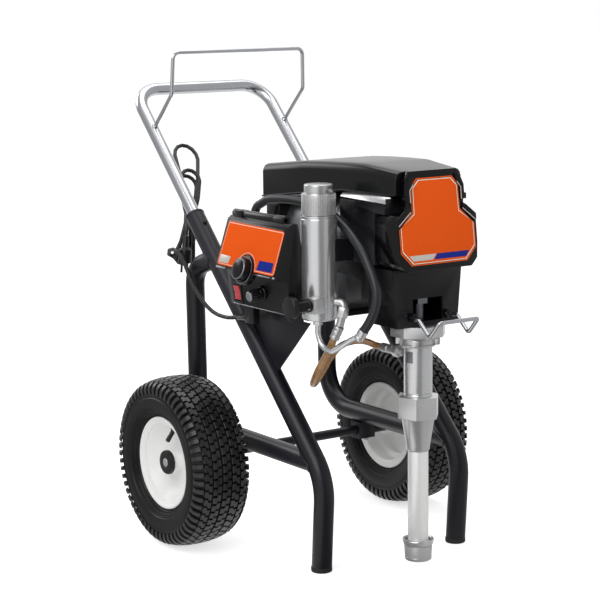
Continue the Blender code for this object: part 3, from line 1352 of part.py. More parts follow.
def build_prime_valve(paint_sleeve, paint_handle):
    """Build the prime valve's sleeve with its stem, and the handle that turns on it."""
    start = -PRIME_BOSS_X + GAP
    end = -PRIME_SLEEVE_END
    stem_end = end + PRIME_STEM_LENGTH
    profile = ((0, start), (PRIME_SLEEVE_R, start), (PRIME_SLEEVE_R, end), (PRIME_STEM_R, end),
               (PRIME_STEM_R, stem_end), (0, stem_end))
    axis = (0, PRIME_Y, PRIME_Z)
    piece("prime_valve", lathe(profile, axis, (-1, 0, 0), 20), paint_sleeve)
    bore = PRIME_STEM_R + RUN
    low = end + RUN
    high = low + PRIME_HANDLE_THICK
    floor = stem_end + RUN
    cap = ((bore, low), (PRIME_HANDLE_R, low), (PRIME_HANDLE_R, high - 0.002),
           (PRIME_HANDLE_R - 0.002, high), (0, high), (0, floor), (bore, floor))
    handle = piece("prime_handle", lathe(cap, axis, (-1, 0, 0), 24), paint_handle,
                   (-low, PRIME_Y, PRIME_Z))
    fuse(handle, box((-high + 0.002, PRIME_Y - 0.006, PRIME_Z - PRIME_HANDLE_R - 0.004),
                     (-low - 0.001, PRIME_Y + 0.006, PRIME_Z - PRIME_HANDLE_R + 0.006)))


def build_outlet_elbow(paint):
    """Build the outlet elbow with its nut and the ferrule that holds the paint hose."""
    corner = mm(-121, -342, 504)
    centre = Vector((FILTER_X, FILTER_Y, corner.z))
    start = centre + (corner - centre).normalized() * (BOWL_R + GAP)
    end = PAINT_HOSE_ROUTE[0] - (PAINT_HOSE_ROUTE[1] - PAINT_HOSE_ROUTE[0]).normalized() * GAP
    knee = end - (PAINT_HOSE_ROUTE[1] - PAINT_HOSE_ROUTE[0]).normalized() * ELBOW_FERRULE_LENGTH
    elbow = piece("outlet_elbow", sweep([start, corner, knee, end], ELBOW_R, 12), paint)
    fuse(elbow, rod(corner.lerp(knee, 0.18), corner.lerp(knee, 0.55), ELBOW_NUT_R, 6))
    fuse(elbow, rod(knee, end, ELBOW_FERRULE_R, 14))


def build_drain(paint_pipe, paint_hose):
    """Build the drain pipe with its ferrule, and the hose that starts in it."""
    aim = (DRAIN_HOSE_ROUTE[1] - DRAIN_HOSE_ROUTE[0]).normalized()
    mouth = DRAIN_HOSE_ROUTE[0] - aim * GAP
    route = [*DRAIN_PIPE_ROUTE, mouth - aim * (DRAIN_FERRULE_LENGTH / 2)]
    pipe = piece("drain_pipe", sweep(spline(route, 0.013), DRAIN_PIPE_R, 8), paint_pipe)
    fuse(pipe, rod(mouth - aim * DRAIN_FERRULE_LENGTH, mouth, DRAIN_FERRULE_R, 14))
    cord("drain_hose", spline(DRAIN_HOSE_ROUTE, 0.026), DRAIN_HOSE_R, paint_hose, 3)


# ---------------------------------------------------------------- mains cord
def hank_point(along, wide, deep):
    """Return the point of the hank at a share of its length, and across and into it."""
    low, waist, top = HANK_SPINE
    bend = waist * 2 - (low + top) / 2
    here = low * (1 - along) ** 2 + bend * (2 * along * (1 - along)) + top * along ** 2
    ahead = ((bend - low) * (1 - along) + (top - bend) * along).normalized()
    aside = (Vector((1, 0, 0)) - ahead * ahead.x).normalized()
    return here + aside * wide + ahead.cross(aside) * deep


def hank_length():
    """Return the length of the hank's spine."""
    points = [hank_point(step / 20, 0, 0) for step in range(21)]
    return sum((after - before).length for before, after in zip(points, points[1:]))


def hank_path():
    """Return the points of the hank's loops as one unbroken line, front loop last."""
    length = hank_length()
    low_arc = HANK_BOTTOM_HALF / length
    high_arc = HANK_TOP_HALF / length
    run = 5
    turn = HANK_LOOP_POINTS // 2 - run
    points = []
    for loop in range(HANK_LOOPS):
        for step in range(HANK_LOOP_POINTS):
            climb = 0.0
            if step < turn:
                angle = math.pi * step / turn
                along = low_arc - low_arc * math.sin(angle)
                wide = -HANK_BOTTOM_HALF * math.cos(angle)
            elif step < turn + run:
                share = (step - turn) / run
                along = low_arc + (1 - high_arc - low_arc) * share
                wide = hank_half(share)
            elif step < 2 * turn + run:
                angle = math.pi * (step - turn - run) / turn
                along = 1 - high_arc + high_arc * math.sin(angle)
                wide = HANK_TOP_HALF * math.cos(angle)
            else:
                climb = (step - 2 * turn - run) / run
                along = low_arc + (1 - high_arc - low_arc) * (1 - climb)
                wide = -hank_half(1 - climb)
            deep = (HANK_LOOPS / 2 - loop - climb) * HANK_PITCH
            points.append(hank_point(along, wide, deep))
    return points[HANK_KEPT]


def hank_half(share):
    """Return half the hank's width at a share of the way from its lower to its upper turn."""
    straight = HANK_BOTTOM_HALF + (HANK_TOP_HALF - HANK_BOTTOM_HALF) * share
    at_waist = (HANK_BOTTOM_HALF + HANK_TOP_HALF) / 2 - HANK_WAIST_HALF
    return straight - at_waist * math.sin(math.pi * share) ** 2


def least_gap(points, radius, skip):
    """Return the least gap between stretches of a cord that are not neighbours."""
    fine = []
    for before, after in zip(points, points[1:]):
        for step in range(4):
            fine.append(before.lerp(after, step / 4))
    least = math.inf
    for index, point in enumerate(fine):
        for other in fine[index + skip:]:
            least = min(least, (other - point).length)
    return least - 2 * radius


def build_cord(paint_cord, paint_plug, paint_tie):
    """Build the mains cord: free stretch, hank, tie, plug lead and plug."""
    hank = hank_path()
    cord("power_cord", spline(POWER_CORD_ROUTE, 0.020), CORD_R, paint_cord, 2)
    cord("cord_hank", hank, CORD_R, paint_cord, 1)
    print("least gap of the hank to itself, mm:", round(least_gap(hank, CORD_R, 24) * 1000, 2))
    cord("plug_lead", spline(PLUG_LEAD_ROUTE, 0.012), CORD_R, paint_cord, 2)
    build_plug(paint_plug)
    build_cord_tie(paint_tie)


def build_plug(paint):
    """Build the moulded plug with its boot and its two pins."""
    aim = (PLUG_LEAD_ROUTE[-1] - PLUG_LEAD_ROUTE[-2]).normalized()
    start = PLUG_LEAD_ROUTE[-1] + aim * GAP
    shoulder = PLUG_BOOT + 0.006
    profile = ((0, 0), (CORD_R + 0.001, 0), (CORD_R + 0.003, PLUG_BOOT), (PLUG_BODY_R, shoulder),
               (PLUG_BODY_R, PLUG_BOOT + PLUG_LENGTH), (0, PLUG_BOOT + PLUG_LENGTH))
    plug = piece("plug", lathe(profile, start, aim, 16), paint)
    for side in (-1, 1):
        offset = Vector((side * 0.0065, 0, 0))
        pin = start + aim * (PLUG_BOOT + PLUG_LENGTH - 0.004) + offset
        fuse(plug, rod(pin, pin + aim * (PIN_LENGTH + 0.004), 0.0024, 8))


def build_cord_tie(paint):
    """Build the strap round the hank's waist, with its tail to the sleeve."""
    centre = hank_point(0.5, 0, 0)
    ahead = (hank_point(0.52, 0, 0) - hank_point(0.48, 0, 0)).normalized()
    aside = (Vector((1, 0, 0)) - ahead * ahead.x).normalized()
    deep = ahead.cross(aside)
    wide_r = HANK_WAIST_HALF + CORD_R + TIE_R * 5
    deep_r = HANK_PITCH * HANK_LOOPS / 2 + CORD_R + TIE_R * 3
    ring = []
    for step in range(24):
        angle = 2 * math.pi * step / 24
        stretch = 1 / (abs(math.cos(angle)) ** 3 + abs(math.sin(angle)) ** 3) ** (1 / 3)
        ring.append(centre + aside * (wide_r * stretch * math.cos(angle))
                    + deep * (deep_r * stretch * math.sin(angle)))
    bm = bmesh.new()
    loops = []
    for point in ring:
        out = (point - centre).normalized()
        corners = (out * TIE_R + ahead * TIE_R * 3, out * TIE_R - ahead * TIE_R * 3,
                   -out * TIE_R - ahead * TIE_R * 3, -out * TIE_R + ahead * TIE_R * 3)
        loops.append([bm.verts.new(point + corner) for corner in corners])
    for loop, after in zip(loops, loops[1:] + loops[:1]):
        join_rings(bm, loop, after, 4)
    tie = piece("cord_tie", bm, paint)
    sleeve = sleeve_point(-TRACK, -BUSH_PLUG) - upper_normal() * (FRAME_R + TIE_R + GAP)
    hold = ring[len(ring) * 3 // 4]
    fuse(tie, rod(sleeve, hold, TIE_R * 0.9, 8))


# ---------------------------------------------------------------- the whole
def build_cart():
    """Build the frame, the handle and the wheels."""
    black = finish("frame_black", (0.018, 0.018, 0.022), 0.35, 0.0)
    rubber = finish("foot_rubber", (0.02, 0.02, 0.02), 0.8, 0.0)
    chrome = finish("chrome", (0.78, 0.78, 0.80), 0.15, 1.0)
    steel = finish("axle_steel", (0.45, 0.45, 0.47), 0.4, 1.0)
    white = finish("rim_white", (0.80, 0.79, 0.75), 0.4, 0.0)
    tyre = finish("tyre_rubber", (0.02, 0.02, 0.022), 0.85, 0.0)
    plastic = finish("bush_plastic", (0.02, 0.02, 0.02), 0.5, 0.0)
    for label, side in SIDES:
        build_frame_tube(label, side, black)
        build_rear_tube(label, side, black)
        build_foot_cap(label, side, rubber)
        build_axle_bracket(label, side, black)
        build_handle_bush(label, side, plastic)
        build_snap_button(label, side, chrome)
        build_rim(label, side, white)
        build_tyre(label, side, tyre)
        build_hub_cap(label, side, plastic)
        build_valve_stem(label, side, tyre)
    build_cradle(black)
    build_handle(chrome)
    build_hose_rack(chrome)
    build_axle(steel)


def build_drive():
    """Build the motor, the gear train, the housing and the covers."""
    cast = finish("motor_aluminium", (0.55, 0.55, 0.57), 0.5, 1.0)
    steel = finish("drive_steel", (0.40, 0.40, 0.42), 0.35, 1.0)
    black = finish("housing_black", (0.016, 0.016, 0.018), 0.35, 0.0)
    cover = finish("cover_black", (0.012, 0.012, 0.014), 0.2, 0.0)
    orange = finish("label_orange", (0.80, 0.14, 0.025), 0.4, 0.0)
    build_motor(cast)
    build_rotor(steel)
    build_crank_gear(steel)
    build_con_rod(steel)
    build_drive_housing(black)
    build_front_cover(cover)
    build_front_label(orange)
    build_shroud(cover)


def build_pump():
    """Build the pump from the flange down to the strainer."""
    plated = finish("pump_plated", (0.62, 0.62, 0.62), 0.35, 1.0)
    polished = finish("pump_polished", (0.75, 0.75, 0.76), 0.2, 1.0)
    tube = finish("suction_silver", (0.80, 0.80, 0.80), 0.3, 1.0)
    build_pump_rod(polished)
    build_pump_flange(plated)
    build_jam_nut(plated)
    build_pump_cylinder(polished)
    build_intake_housing(plated)
    build_suction_tube(tube)
    build_strainer(plated, plated)
    build_outlet_swivel(plated)
    build_pail_hanger(polished)


def build_controls():
    """Build the control box with its knob, switch, fuse holder and cord."""
    black = finish("box_black", (0.015, 0.015, 0.017), 0.4, 0.0)
    orange = finish("panel_orange", (0.80, 0.16, 0.03), 0.4, 0.0)
    red = finish("switch_red", (0.70, 0.03, 0.03), 0.3, 0.0)
    knob_black = finish("knob_black", (0.018, 0.018, 0.020), 0.45, 0.0)
    cord_black = finish("cord_black", (0.02, 0.02, 0.02), 0.55, 0.0)
    build_control_box(black)
    build_control_label(orange)
    build_pressure_knob(knob_black)
    build_rocker_switch(red)
    build_fuse_holder(knob_black)
    build_cord(cord_black, knob_black, cord_black)


def build_fluid_line():
    """Build the filter, its valves, pipes and hoses."""
    polished = finish("filter_polished", (0.75, 0.75, 0.76), 0.15, 1.0)
    black = finish("valve_black", (0.02, 0.02, 0.022), 0.4, 0.0)
    plated = finish("fitting_plated", (0.60, 0.60, 0.60), 0.35, 1.0)
    hose = finish("hose_black", (0.02, 0.02, 0.025), 0.5, 0.0)
    brown = finish("hose_brown", (0.45, 0.25, 0.12), 0.4, 0.0)
    build_filter_bowl(polished)
    build_filter_cap(plated)
    build_prime_valve(black, black)
    build_outlet_elbow(plated)
    build_drain(polished, hose)
    cord("paint_hose", spline(PAINT_HOSE_ROUTE, 0.018), PAINT_HOSE_R, brown, 3)


def main():
    """Clear the scene and build the sprayer under its empty."""
    for old in list(bpy.data.objects):
        bpy.data.objects.remove(old, do_unlink=True)
    root = bpy.data.objects.new("sprayer", None)
    root.location = (0, centre_shift(), 0)
    bpy.context.scene.collection.objects.link(root)
    build_cart()
    build_drive()
    build_pump()
    build_controls()
    build_fluid_line()
    bpy.context.view_layer.update()


main()
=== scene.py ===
"""The finished look of an airless paint sprayer on its two-wheeled cart.

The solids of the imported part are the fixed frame. Each sub-assembly below is a class that keeps
its sizes in millimetres, measured from the wheel axle's place on the floor, and makes the pieces
that are seen in place of the plain solids. The pump faces -Y and the handle is at +Y.
"""

import json
import logging
import math
from collections.abc import Iterator, Sequence
from contextlib import contextmanager
from dataclasses import dataclass, field
from enum import Enum
from itertools import pairwise
from typing import Any

import bpy
from mathutils import Matrix, Vector

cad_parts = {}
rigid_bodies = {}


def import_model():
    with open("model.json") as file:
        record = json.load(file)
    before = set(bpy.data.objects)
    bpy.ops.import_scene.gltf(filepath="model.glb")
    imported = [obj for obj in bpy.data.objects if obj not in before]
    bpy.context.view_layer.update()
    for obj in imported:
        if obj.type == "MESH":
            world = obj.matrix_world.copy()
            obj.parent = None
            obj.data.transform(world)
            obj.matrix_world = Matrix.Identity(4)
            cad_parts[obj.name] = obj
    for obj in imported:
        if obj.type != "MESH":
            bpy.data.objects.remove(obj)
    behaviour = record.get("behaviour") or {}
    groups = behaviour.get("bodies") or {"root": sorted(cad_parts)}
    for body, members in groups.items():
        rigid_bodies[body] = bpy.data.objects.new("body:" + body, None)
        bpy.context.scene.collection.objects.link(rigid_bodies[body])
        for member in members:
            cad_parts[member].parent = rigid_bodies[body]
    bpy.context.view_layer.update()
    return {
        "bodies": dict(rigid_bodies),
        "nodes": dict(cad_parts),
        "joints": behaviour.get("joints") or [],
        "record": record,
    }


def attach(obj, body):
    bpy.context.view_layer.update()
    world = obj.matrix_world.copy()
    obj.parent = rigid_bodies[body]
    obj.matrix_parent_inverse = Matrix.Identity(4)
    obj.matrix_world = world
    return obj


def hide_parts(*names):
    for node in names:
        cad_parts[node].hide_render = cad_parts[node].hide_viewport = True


LOG = logging.getLogger("sprayer")
MM = 0.001
SHIFT_Y = 81.336
UP = (0, 0, 1)
SAME_PLACE = 1e-6
SLEEVE_SLOPE = math.radians(45.5)
SLEEVE_TOP = (110.5, 621.4)
FLAT_ANGLE = math.radians(2)
COAT_ROUGHNESS = 0.08
STREAK = 0.03
WORN_FROM = 0.53
WORN_TO = 0.62
WORN_SHARE = 0.7
Point = tuple[float, float, float]
Pair = tuple[float, float]
Object = bpy.types.Object
Material = bpy.types.Material


class Body(Enum):
    """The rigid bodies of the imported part."""

    BASE = "base"
    WHEEL_LEFT = "wheel_left"
    WHEEL_RIGHT = "wheel_right"
    HANDLE = "pull_handle"
    SNAP_LEFT = "snap_left"
    SNAP_RIGHT = "snap_right"
    KNOB = "knob"
    ROCKER = "rocker"
    PRIME = "prime_lever"
    HANGER = "hanger"
    ROTOR = "motor_rotor"
    CRANK = "crank"
    ROD = "piston_rod"
    LINK = "link"


class Side(Enum):
    """The two sides of the cart, seen from behind it."""

    LEFT = -1
    RIGHT = 1

    @property
    def label(self) -> str:
        """Return the side's name in lower case."""
        return self.name.lower()


class Grain(Enum):
    """How a finish is patterned at the scale of its grain."""

    SPECKLE = "speckle"
    BRUSHED_Z = "brushed along z"
    TURNED_Z = "turned about z"
    MESH = "woven mesh"
    CLOUD = "soft clouds"


# ---------------------------------------------------------------- places
def world(point: Sequence[float]) -> Vector:
    """Turn a point in millimetres from the axle into metres in the part's frame."""
    return Vector((point[0], point[1] + SHIFT_Y, point[2])) * MM


def sleeve(x: float, along: float, out: float = 0.0) -> Point:
    """Return a point by its distance above the sleeve's top and out of its slope."""
    y = SLEEVE_TOP[0] + math.cos(SLEEVE_SLOPE) * along - math.sin(SLEEVE_SLOPE) * out
    z = SLEEVE_TOP[1] + math.sin(SLEEVE_SLOPE) * along + math.cos(SLEEVE_SLOPE) * out
    return (x, y, z)


def sleeve_way(along: float, out: float) -> Vector:
    """Return a direction by its share along the sleeves and out of their slope."""
    return Vector(sleeve(0, along, out)) - Vector(sleeve(0, 0))


def mirrored(line: Sequence[Pair]) -> list[Pair]:
    """Return a half line's other half: backwards, with the second numbers negated."""
    return [(first, -second) for first, second in reversed(line)]


def rounded(points: Sequence[Point], radii: Sequence[float], steps: int = 8) -> list[Point]:
    """Round the inner corners of a path.

    Args:
        points: the corners, with both ends.
        radii: one bend radius for each inner corner.
        steps: straight pieces in each bend.

    Returns:
        The points of the rounded path.
    """
    path = [Vector(points[0])]
    for index, radius in enumerate(radii):
        before, corner, after = (Vector(p) for p in points[index:index + 3])
        back = (before - corner).normalized()
        ahead = (after - corner).normalized()
        half = back.angle(ahead) / 2
        middle = corner + (back + ahead).normalized() * (radius / math.sin(half))
        start = corner + back * (radius / math.tan(half)) - middle
        end = corner + ahead * (radius / math.tan(half)) - middle
        turn = start.angle(end)
        for step in range(steps + 1):
            part = step / steps
            swung = start * math.sin((1 - part) * turn) + end * math.sin(part * turn)
            path.append(middle + swung / math.sin(turn))
    path.append(Vector(points[-1]))
    return [tuple(point) for point in path]


def flowing(route: Sequence[Point], spacing: float) -> list[Point]:
    """Return evenly spaced points of the smooth curve through a route.

    Args:
        route: the points that the curve passes.
        spacing: the wanted distance between the new points.

    Returns:
        The new points, with both ends of the route.
    """
    given = [Vector(point) for point in route]
    knots = [given[0] * 2 - given[1], *given, given[-1] * 2 - given[-2]]
    dense = []
    for index in range(1, len(knots) - 2):
        a, b, c, d = knots[index - 1:index + 3]
        for step in range(24):
            t = step / 24
            dense.append(0.5 * (2 * b + (c - a) * t + (2 * a - 5 * b + 4 * c - d) * t ** 2
                                + (3 * b - a - 3 * c + d) * t ** 3))
    dense.append(given[-1])
    lengths = [0.0]
    for before, after in pairwise(dense):
        lengths.append(lengths[-1] + (after - before).length)
    count = max(3, round(lengths[-1] / spacing))
    points = []
    upper = 1
    for index in range(count + 1):
        goal = lengths[-1] * index / count
        while lengths[upper] < goal - 1e-9:
            upper += 1
        share = (goal - lengths[upper - 1]) / (lengths[upper] - lengths[upper - 1])
        points.append(tuple(dense[upper - 1].lerp(dense[upper], share)))
    return points


# ---------------------------------------------------------------- modelling tools
def only(target: Object) -> None:
    """Make one object the whole selection."""
    bpy.ops.object.select_all(action="DESELECT")
    target.select_set(True)
    bpy.context.view_layer.objects.active = target


@contextmanager
def editing(target: Object) -> Iterator[None]:
    """Open a piece in edit mode with everything selected, and close it again."""
    only(target)
    bpy.ops.object.mode_set(mode="EDIT")
    bpy.ops.mesh.select_all(action="SELECT")
    yield
    bpy.ops.object.mode_set(mode="OBJECT")


def named(name: str) -> Object:
    """Name the active object and its mesh, and apply its place and size."""
    made = bpy.context.active_object
    made.name = name
    made.data.name = name
    bpy.ops.object.transform_apply(location=True, rotation=True, scale=True)
    return made


def changed(target: Object, kind: str, **settings: Any) -> None:
    """Apply one modifier with its settings to a piece."""
    only(target)
    change = target.modifiers.new(kind.lower(), kind)
    for name, value in settings.items():
        setattr(change, name, value)
    bpy.ops.object.modifier_apply(modifier=change.name)


def draw(name: str, places: Sequence[Vector], closed: bool = False, face: bool = False) -> Object:
    """Draw a line by extruding one vertex from place to place.

    Args:
        name: the new object's name.
        places: the places in metres.
        closed: whether the line returns to its start.
        face: whether the closed line is filled with a face.

    Returns:
        The new object.
    """
    bpy.ops.object.select_all(action="DESELECT")
    bpy.ops.mesh.primitive_plane_add(size=MM, location=places[0])
    line = named(name)
    with editing(line):
        bpy.ops.mesh.merge(type="CENTER")
        for before, after in pairwise(places):
            step = tuple(after - before)
            bpy.ops.mesh.extrude_region_move(TRANSFORM_OT_translate={"value": step})
        if closed:
            bpy.ops.mesh.select_all(action="SELECT")
            bpy.ops.mesh.edge_face_add()
            if not face:
                bpy.ops.mesh.delete(type="ONLY_FACE")
    return line


def tidy(target: Object, ease: float = 0.0, segments: int = 2, angle: float = 30.0) -> Object:
    """Turn a piece's faces outwards, ease its edges and shade it.

    Args:
        target: the piece.
        ease: how wide the eased edges are, in millimetres.
        segments: the faces across an eased edge.
        angle: the least angle of an edge that is eased and shaded sharp, in degrees.

    Returns:
        The same piece.
    """
    with editing(target):
        bpy.ops.mesh.normals_make_consistent(inside=False)
    if ease:
        changed(target, "BEVEL", width=ease * MM, segments=segments, limit_method="ANGLE",
                angle_limit=math.radians(angle), use_clamp_overlap=True)
    bpy.ops.object.shade_smooth_by_angle(angle=math.radians(angle))
    return target


def turned(name: str, profile: Sequence[Pair], origin: Sequence[float], axis: Sequence[float],
           sides: int = 64, ease: float = 0.6, ring: bool = False) -> Object:
    """Spin a profile about an axis.

    Args:
        name: the new piece's name.
        profile: pairs of radius and height along the axis.
        origin: where height 0 is.
        axis: the direction in which the height grows.
        sides: the steps of the spin.
        ease: how wide the eased edges are.
        ring: whether the profile closes on itself instead of on the axis.

    Returns:
        The new piece.
    """
    made = draw(name, [Vector((radius, 0, height)) * MM for radius, height in profile], ring)
    with editing(made):
        bpy.ops.mesh.spin(steps=sides, angle=math.tau, center=(0, 0, 0), axis=UP)
        bpy.ops.mesh.select_all(action="SELECT")
        bpy.ops.mesh.remove_doubles(threshold=SAME_PLACE)
    made.rotation_mode = "QUATERNION"
    made.rotation_quaternion = Vector(UP).rotation_difference(Vector(axis))
    made.location = world(origin)
    only(made)
    bpy.ops.object.transform_apply(location=True, rotation=True, scale=True)
    return tidy(made, ease)


def pushed(name: str, outline: Sequence[Point], push: Sequence[float], ease: float = 0.4,
           segments: int = 2) -> Object:
    """Fill an outline and extrude it.

    Args:
        name: the new piece's name.
        outline: the corners of the outline.
        push: how far and in which direction the face is extruded.
        ease: how wide the eased edges are.
        segments: the faces across an eased edge.

    Returns:
        The new piece.
    """
    made = draw(name, [world(point) for point in outline], closed=True, face=True)
    with editing(made):
        step = tuple(Vector(push) * MM)
        bpy.ops.mesh.extrude_region_move(TRANSFORM_OT_translate={"value": step})
    return tidy(made, ease, segments)


def block(name: str, low: Point, high: Point, ease: float = 1.0) -> Object:
    """Add a box between two corners, with eased edges."""
    size = [far - near for near, far in zip(low, high)]
    middle = [(far + near) / 2 for near, far in zip(low, high)]
    bpy.ops.object.select_all(action="DESELECT")
    bpy.ops.mesh.primitive_cube_add(size=1, location=world(middle), scale=Vector(size) * MM)
    return tidy(named(name), ease)


def joined(name: str, parts: Sequence[Object]) -> Object:
    """Join pieces into one."""
    only(parts[0])
    for part in parts:
        part.select_set(True)
    bpy.ops.object.join()
    parts[0].name = name
    parts[0].data.name = name
    return parts[0]


def bridged(name: str, loops: Sequence[Sequence[Point]], ease: float = 0.0, segments: int = 2,
            angle: float = 30.0) -> Object:
    """Bridge a row of closed loops and cap both ends.

    Args:
        name: the new piece's name.
        loops: the loops in order, each with the same number of points.
        ease: how wide the eased edges are.
        segments: the faces across an eased edge.
        angle: the least angle of an edge that is eased.

    Returns:
        The new piece.
    """
    made = joined(name, [draw(f"{name}_{index}", [world(point) for point in loop], closed=True)
                         for index, loop in enumerate(loops)])
    with editing(made):
        bpy.ops.mesh.bridge_edge_loops()
        bpy.ops.mesh.select_all(action="SELECT")
        bpy.ops.mesh.fill_holes(sides=0)
    return tidy(made, ease, segments, angle)


def line_curve(name: str, path: Sequence[Point], radius: float, sides: int = 24) -> Object:
    """Make a round curve that follows a path."""
    made = draw(name, [world(point) for point in path])
    only(made)
    bpy.ops.object.convert(target="CURVE")
    made.data.dimensions = "3D"
    made.data.fill_mode = "FULL"
    made.data.bevel_depth = radius * MM
    made.data.bevel_resolution = (sides - 4) // 2
    made.data.use_fill_caps = True
    return made


def tube(name: str, path: Sequence[Point], radius: float, sides: int = 32) -> Object:
    """Make a round bar or tube along a path, as a mesh."""
    made = line_curve(name, path, radius, sides)
    only(made)
    bpy.ops.object.convert(target="MESH")
    return tidy(made)


def around(target: Object, count: int, centre: Sequence[float], axis: Sequence[float]) -> Object:
    """Repeat a piece in a circle about an axis."""
    middle = Matrix.Translation(world(centre))
    turn = Matrix.Rotation(math.tau / count, 4, Vector(axis))
    guide = bpy.data.objects.new("guide", None)
    bpy.context.scene.collection.objects.link(guide)
    guide.matrix_world = middle @ turn @ middle.inverted()
    bpy.context.view_layer.update()
    changed(target, "ARRAY", count=count, use_relative_offset=False, use_object_offset=True,
            offset_object=guide)
    bpy.data.objects.remove(guide)
    return target


def swung(target: Object, degrees: float, centre: Sequence[float]) -> Object:
    """Turn a piece about the upright line through a centre."""
    middle = Matrix.Translation(world(centre))
    turn = Matrix.Rotation(math.radians(degrees), 4, "Z")
    target.data.transform(middle @ turn @ middle.inverted())
    return target


def carve(target: Object, tool: Object) -> Object:
    """Cut a tool's shape out of a piece and remove the tool."""
    changed(target, "BOOLEAN", operation="DIFFERENCE", solver="EXACT", object=tool)
    bpy.data.objects.remove(tool)
    return target


def hexagon(name: str, centre: Sequence[float], axis: Sequence[float], across: float,
            length: float, turn: float = 0.0) -> Object:
    """Make a hexagonal nut or head with its corners turned off."""
    direction = Vector(axis).normalized()
    lift = Vector(UP).rotation_difference(direction)
    outline = []
    for step in range(6):
        angle = math.radians(turn + 60 * step)
        corner = Vector((math.cos(angle), math.sin(angle), 0)) * (across / math.sqrt(3))
        outline.append(tuple(Vector(centre) + lift @ corner))
    return pushed(name, outline, direction * length, ease=across * 0.03)


# ---------------------------------------------------------------- finishes
def linear(colour: str) -> tuple[float, float, float, float]:
    """Turn an sRGB hex colour into linear red, green, blue and alpha."""
    values = [int(colour[start:start + 2], 16) / 255 for start in (1, 3, 5)]
    return (*(value / 12.92 if value <= 0.04045 else ((value + 0.055) / 1.055) ** 2.4
              for value in values), 1.0)


def add(tree: bpy.types.NodeTree, kind: str, settings: dict[str, Any] | None = None,
        links: dict[str | int, Any] | None = None) -> bpy.types.Node:
    """Add a node with its settings and its incoming links.

    Args:
        tree: the node tree.
        kind: the node's type name.
        settings: attribute values, or values of inputs where the name is an input's.
        links: for each input a socket that feeds it, or a value.

    Returns:
        The new node.
    """
    node = tree.nodes.new(kind)
    for name, value in (settings or {}).items():
        if name in node.inputs:
            node.inputs[name].default_value = value
        else:
            setattr(node, name, value)
    for name, source in (links or {}).items():
        if isinstance(source, bpy.types.NodeSocket):
            tree.links.new(source, node.inputs[name])
        else:
            node.inputs[name].default_value = source
    return node


def reckon(tree: bpy.types.NodeTree, operation: str, *terms: Any, clamp: bool = False) -> Any:
    """Add a node that reckons with sockets and numbers, and return its result's socket."""
    settings = {"operation": operation, "use_clamp": clamp}
    return add(tree, "ShaderNodeMath", settings, dict(enumerate(terms))).outputs[0]


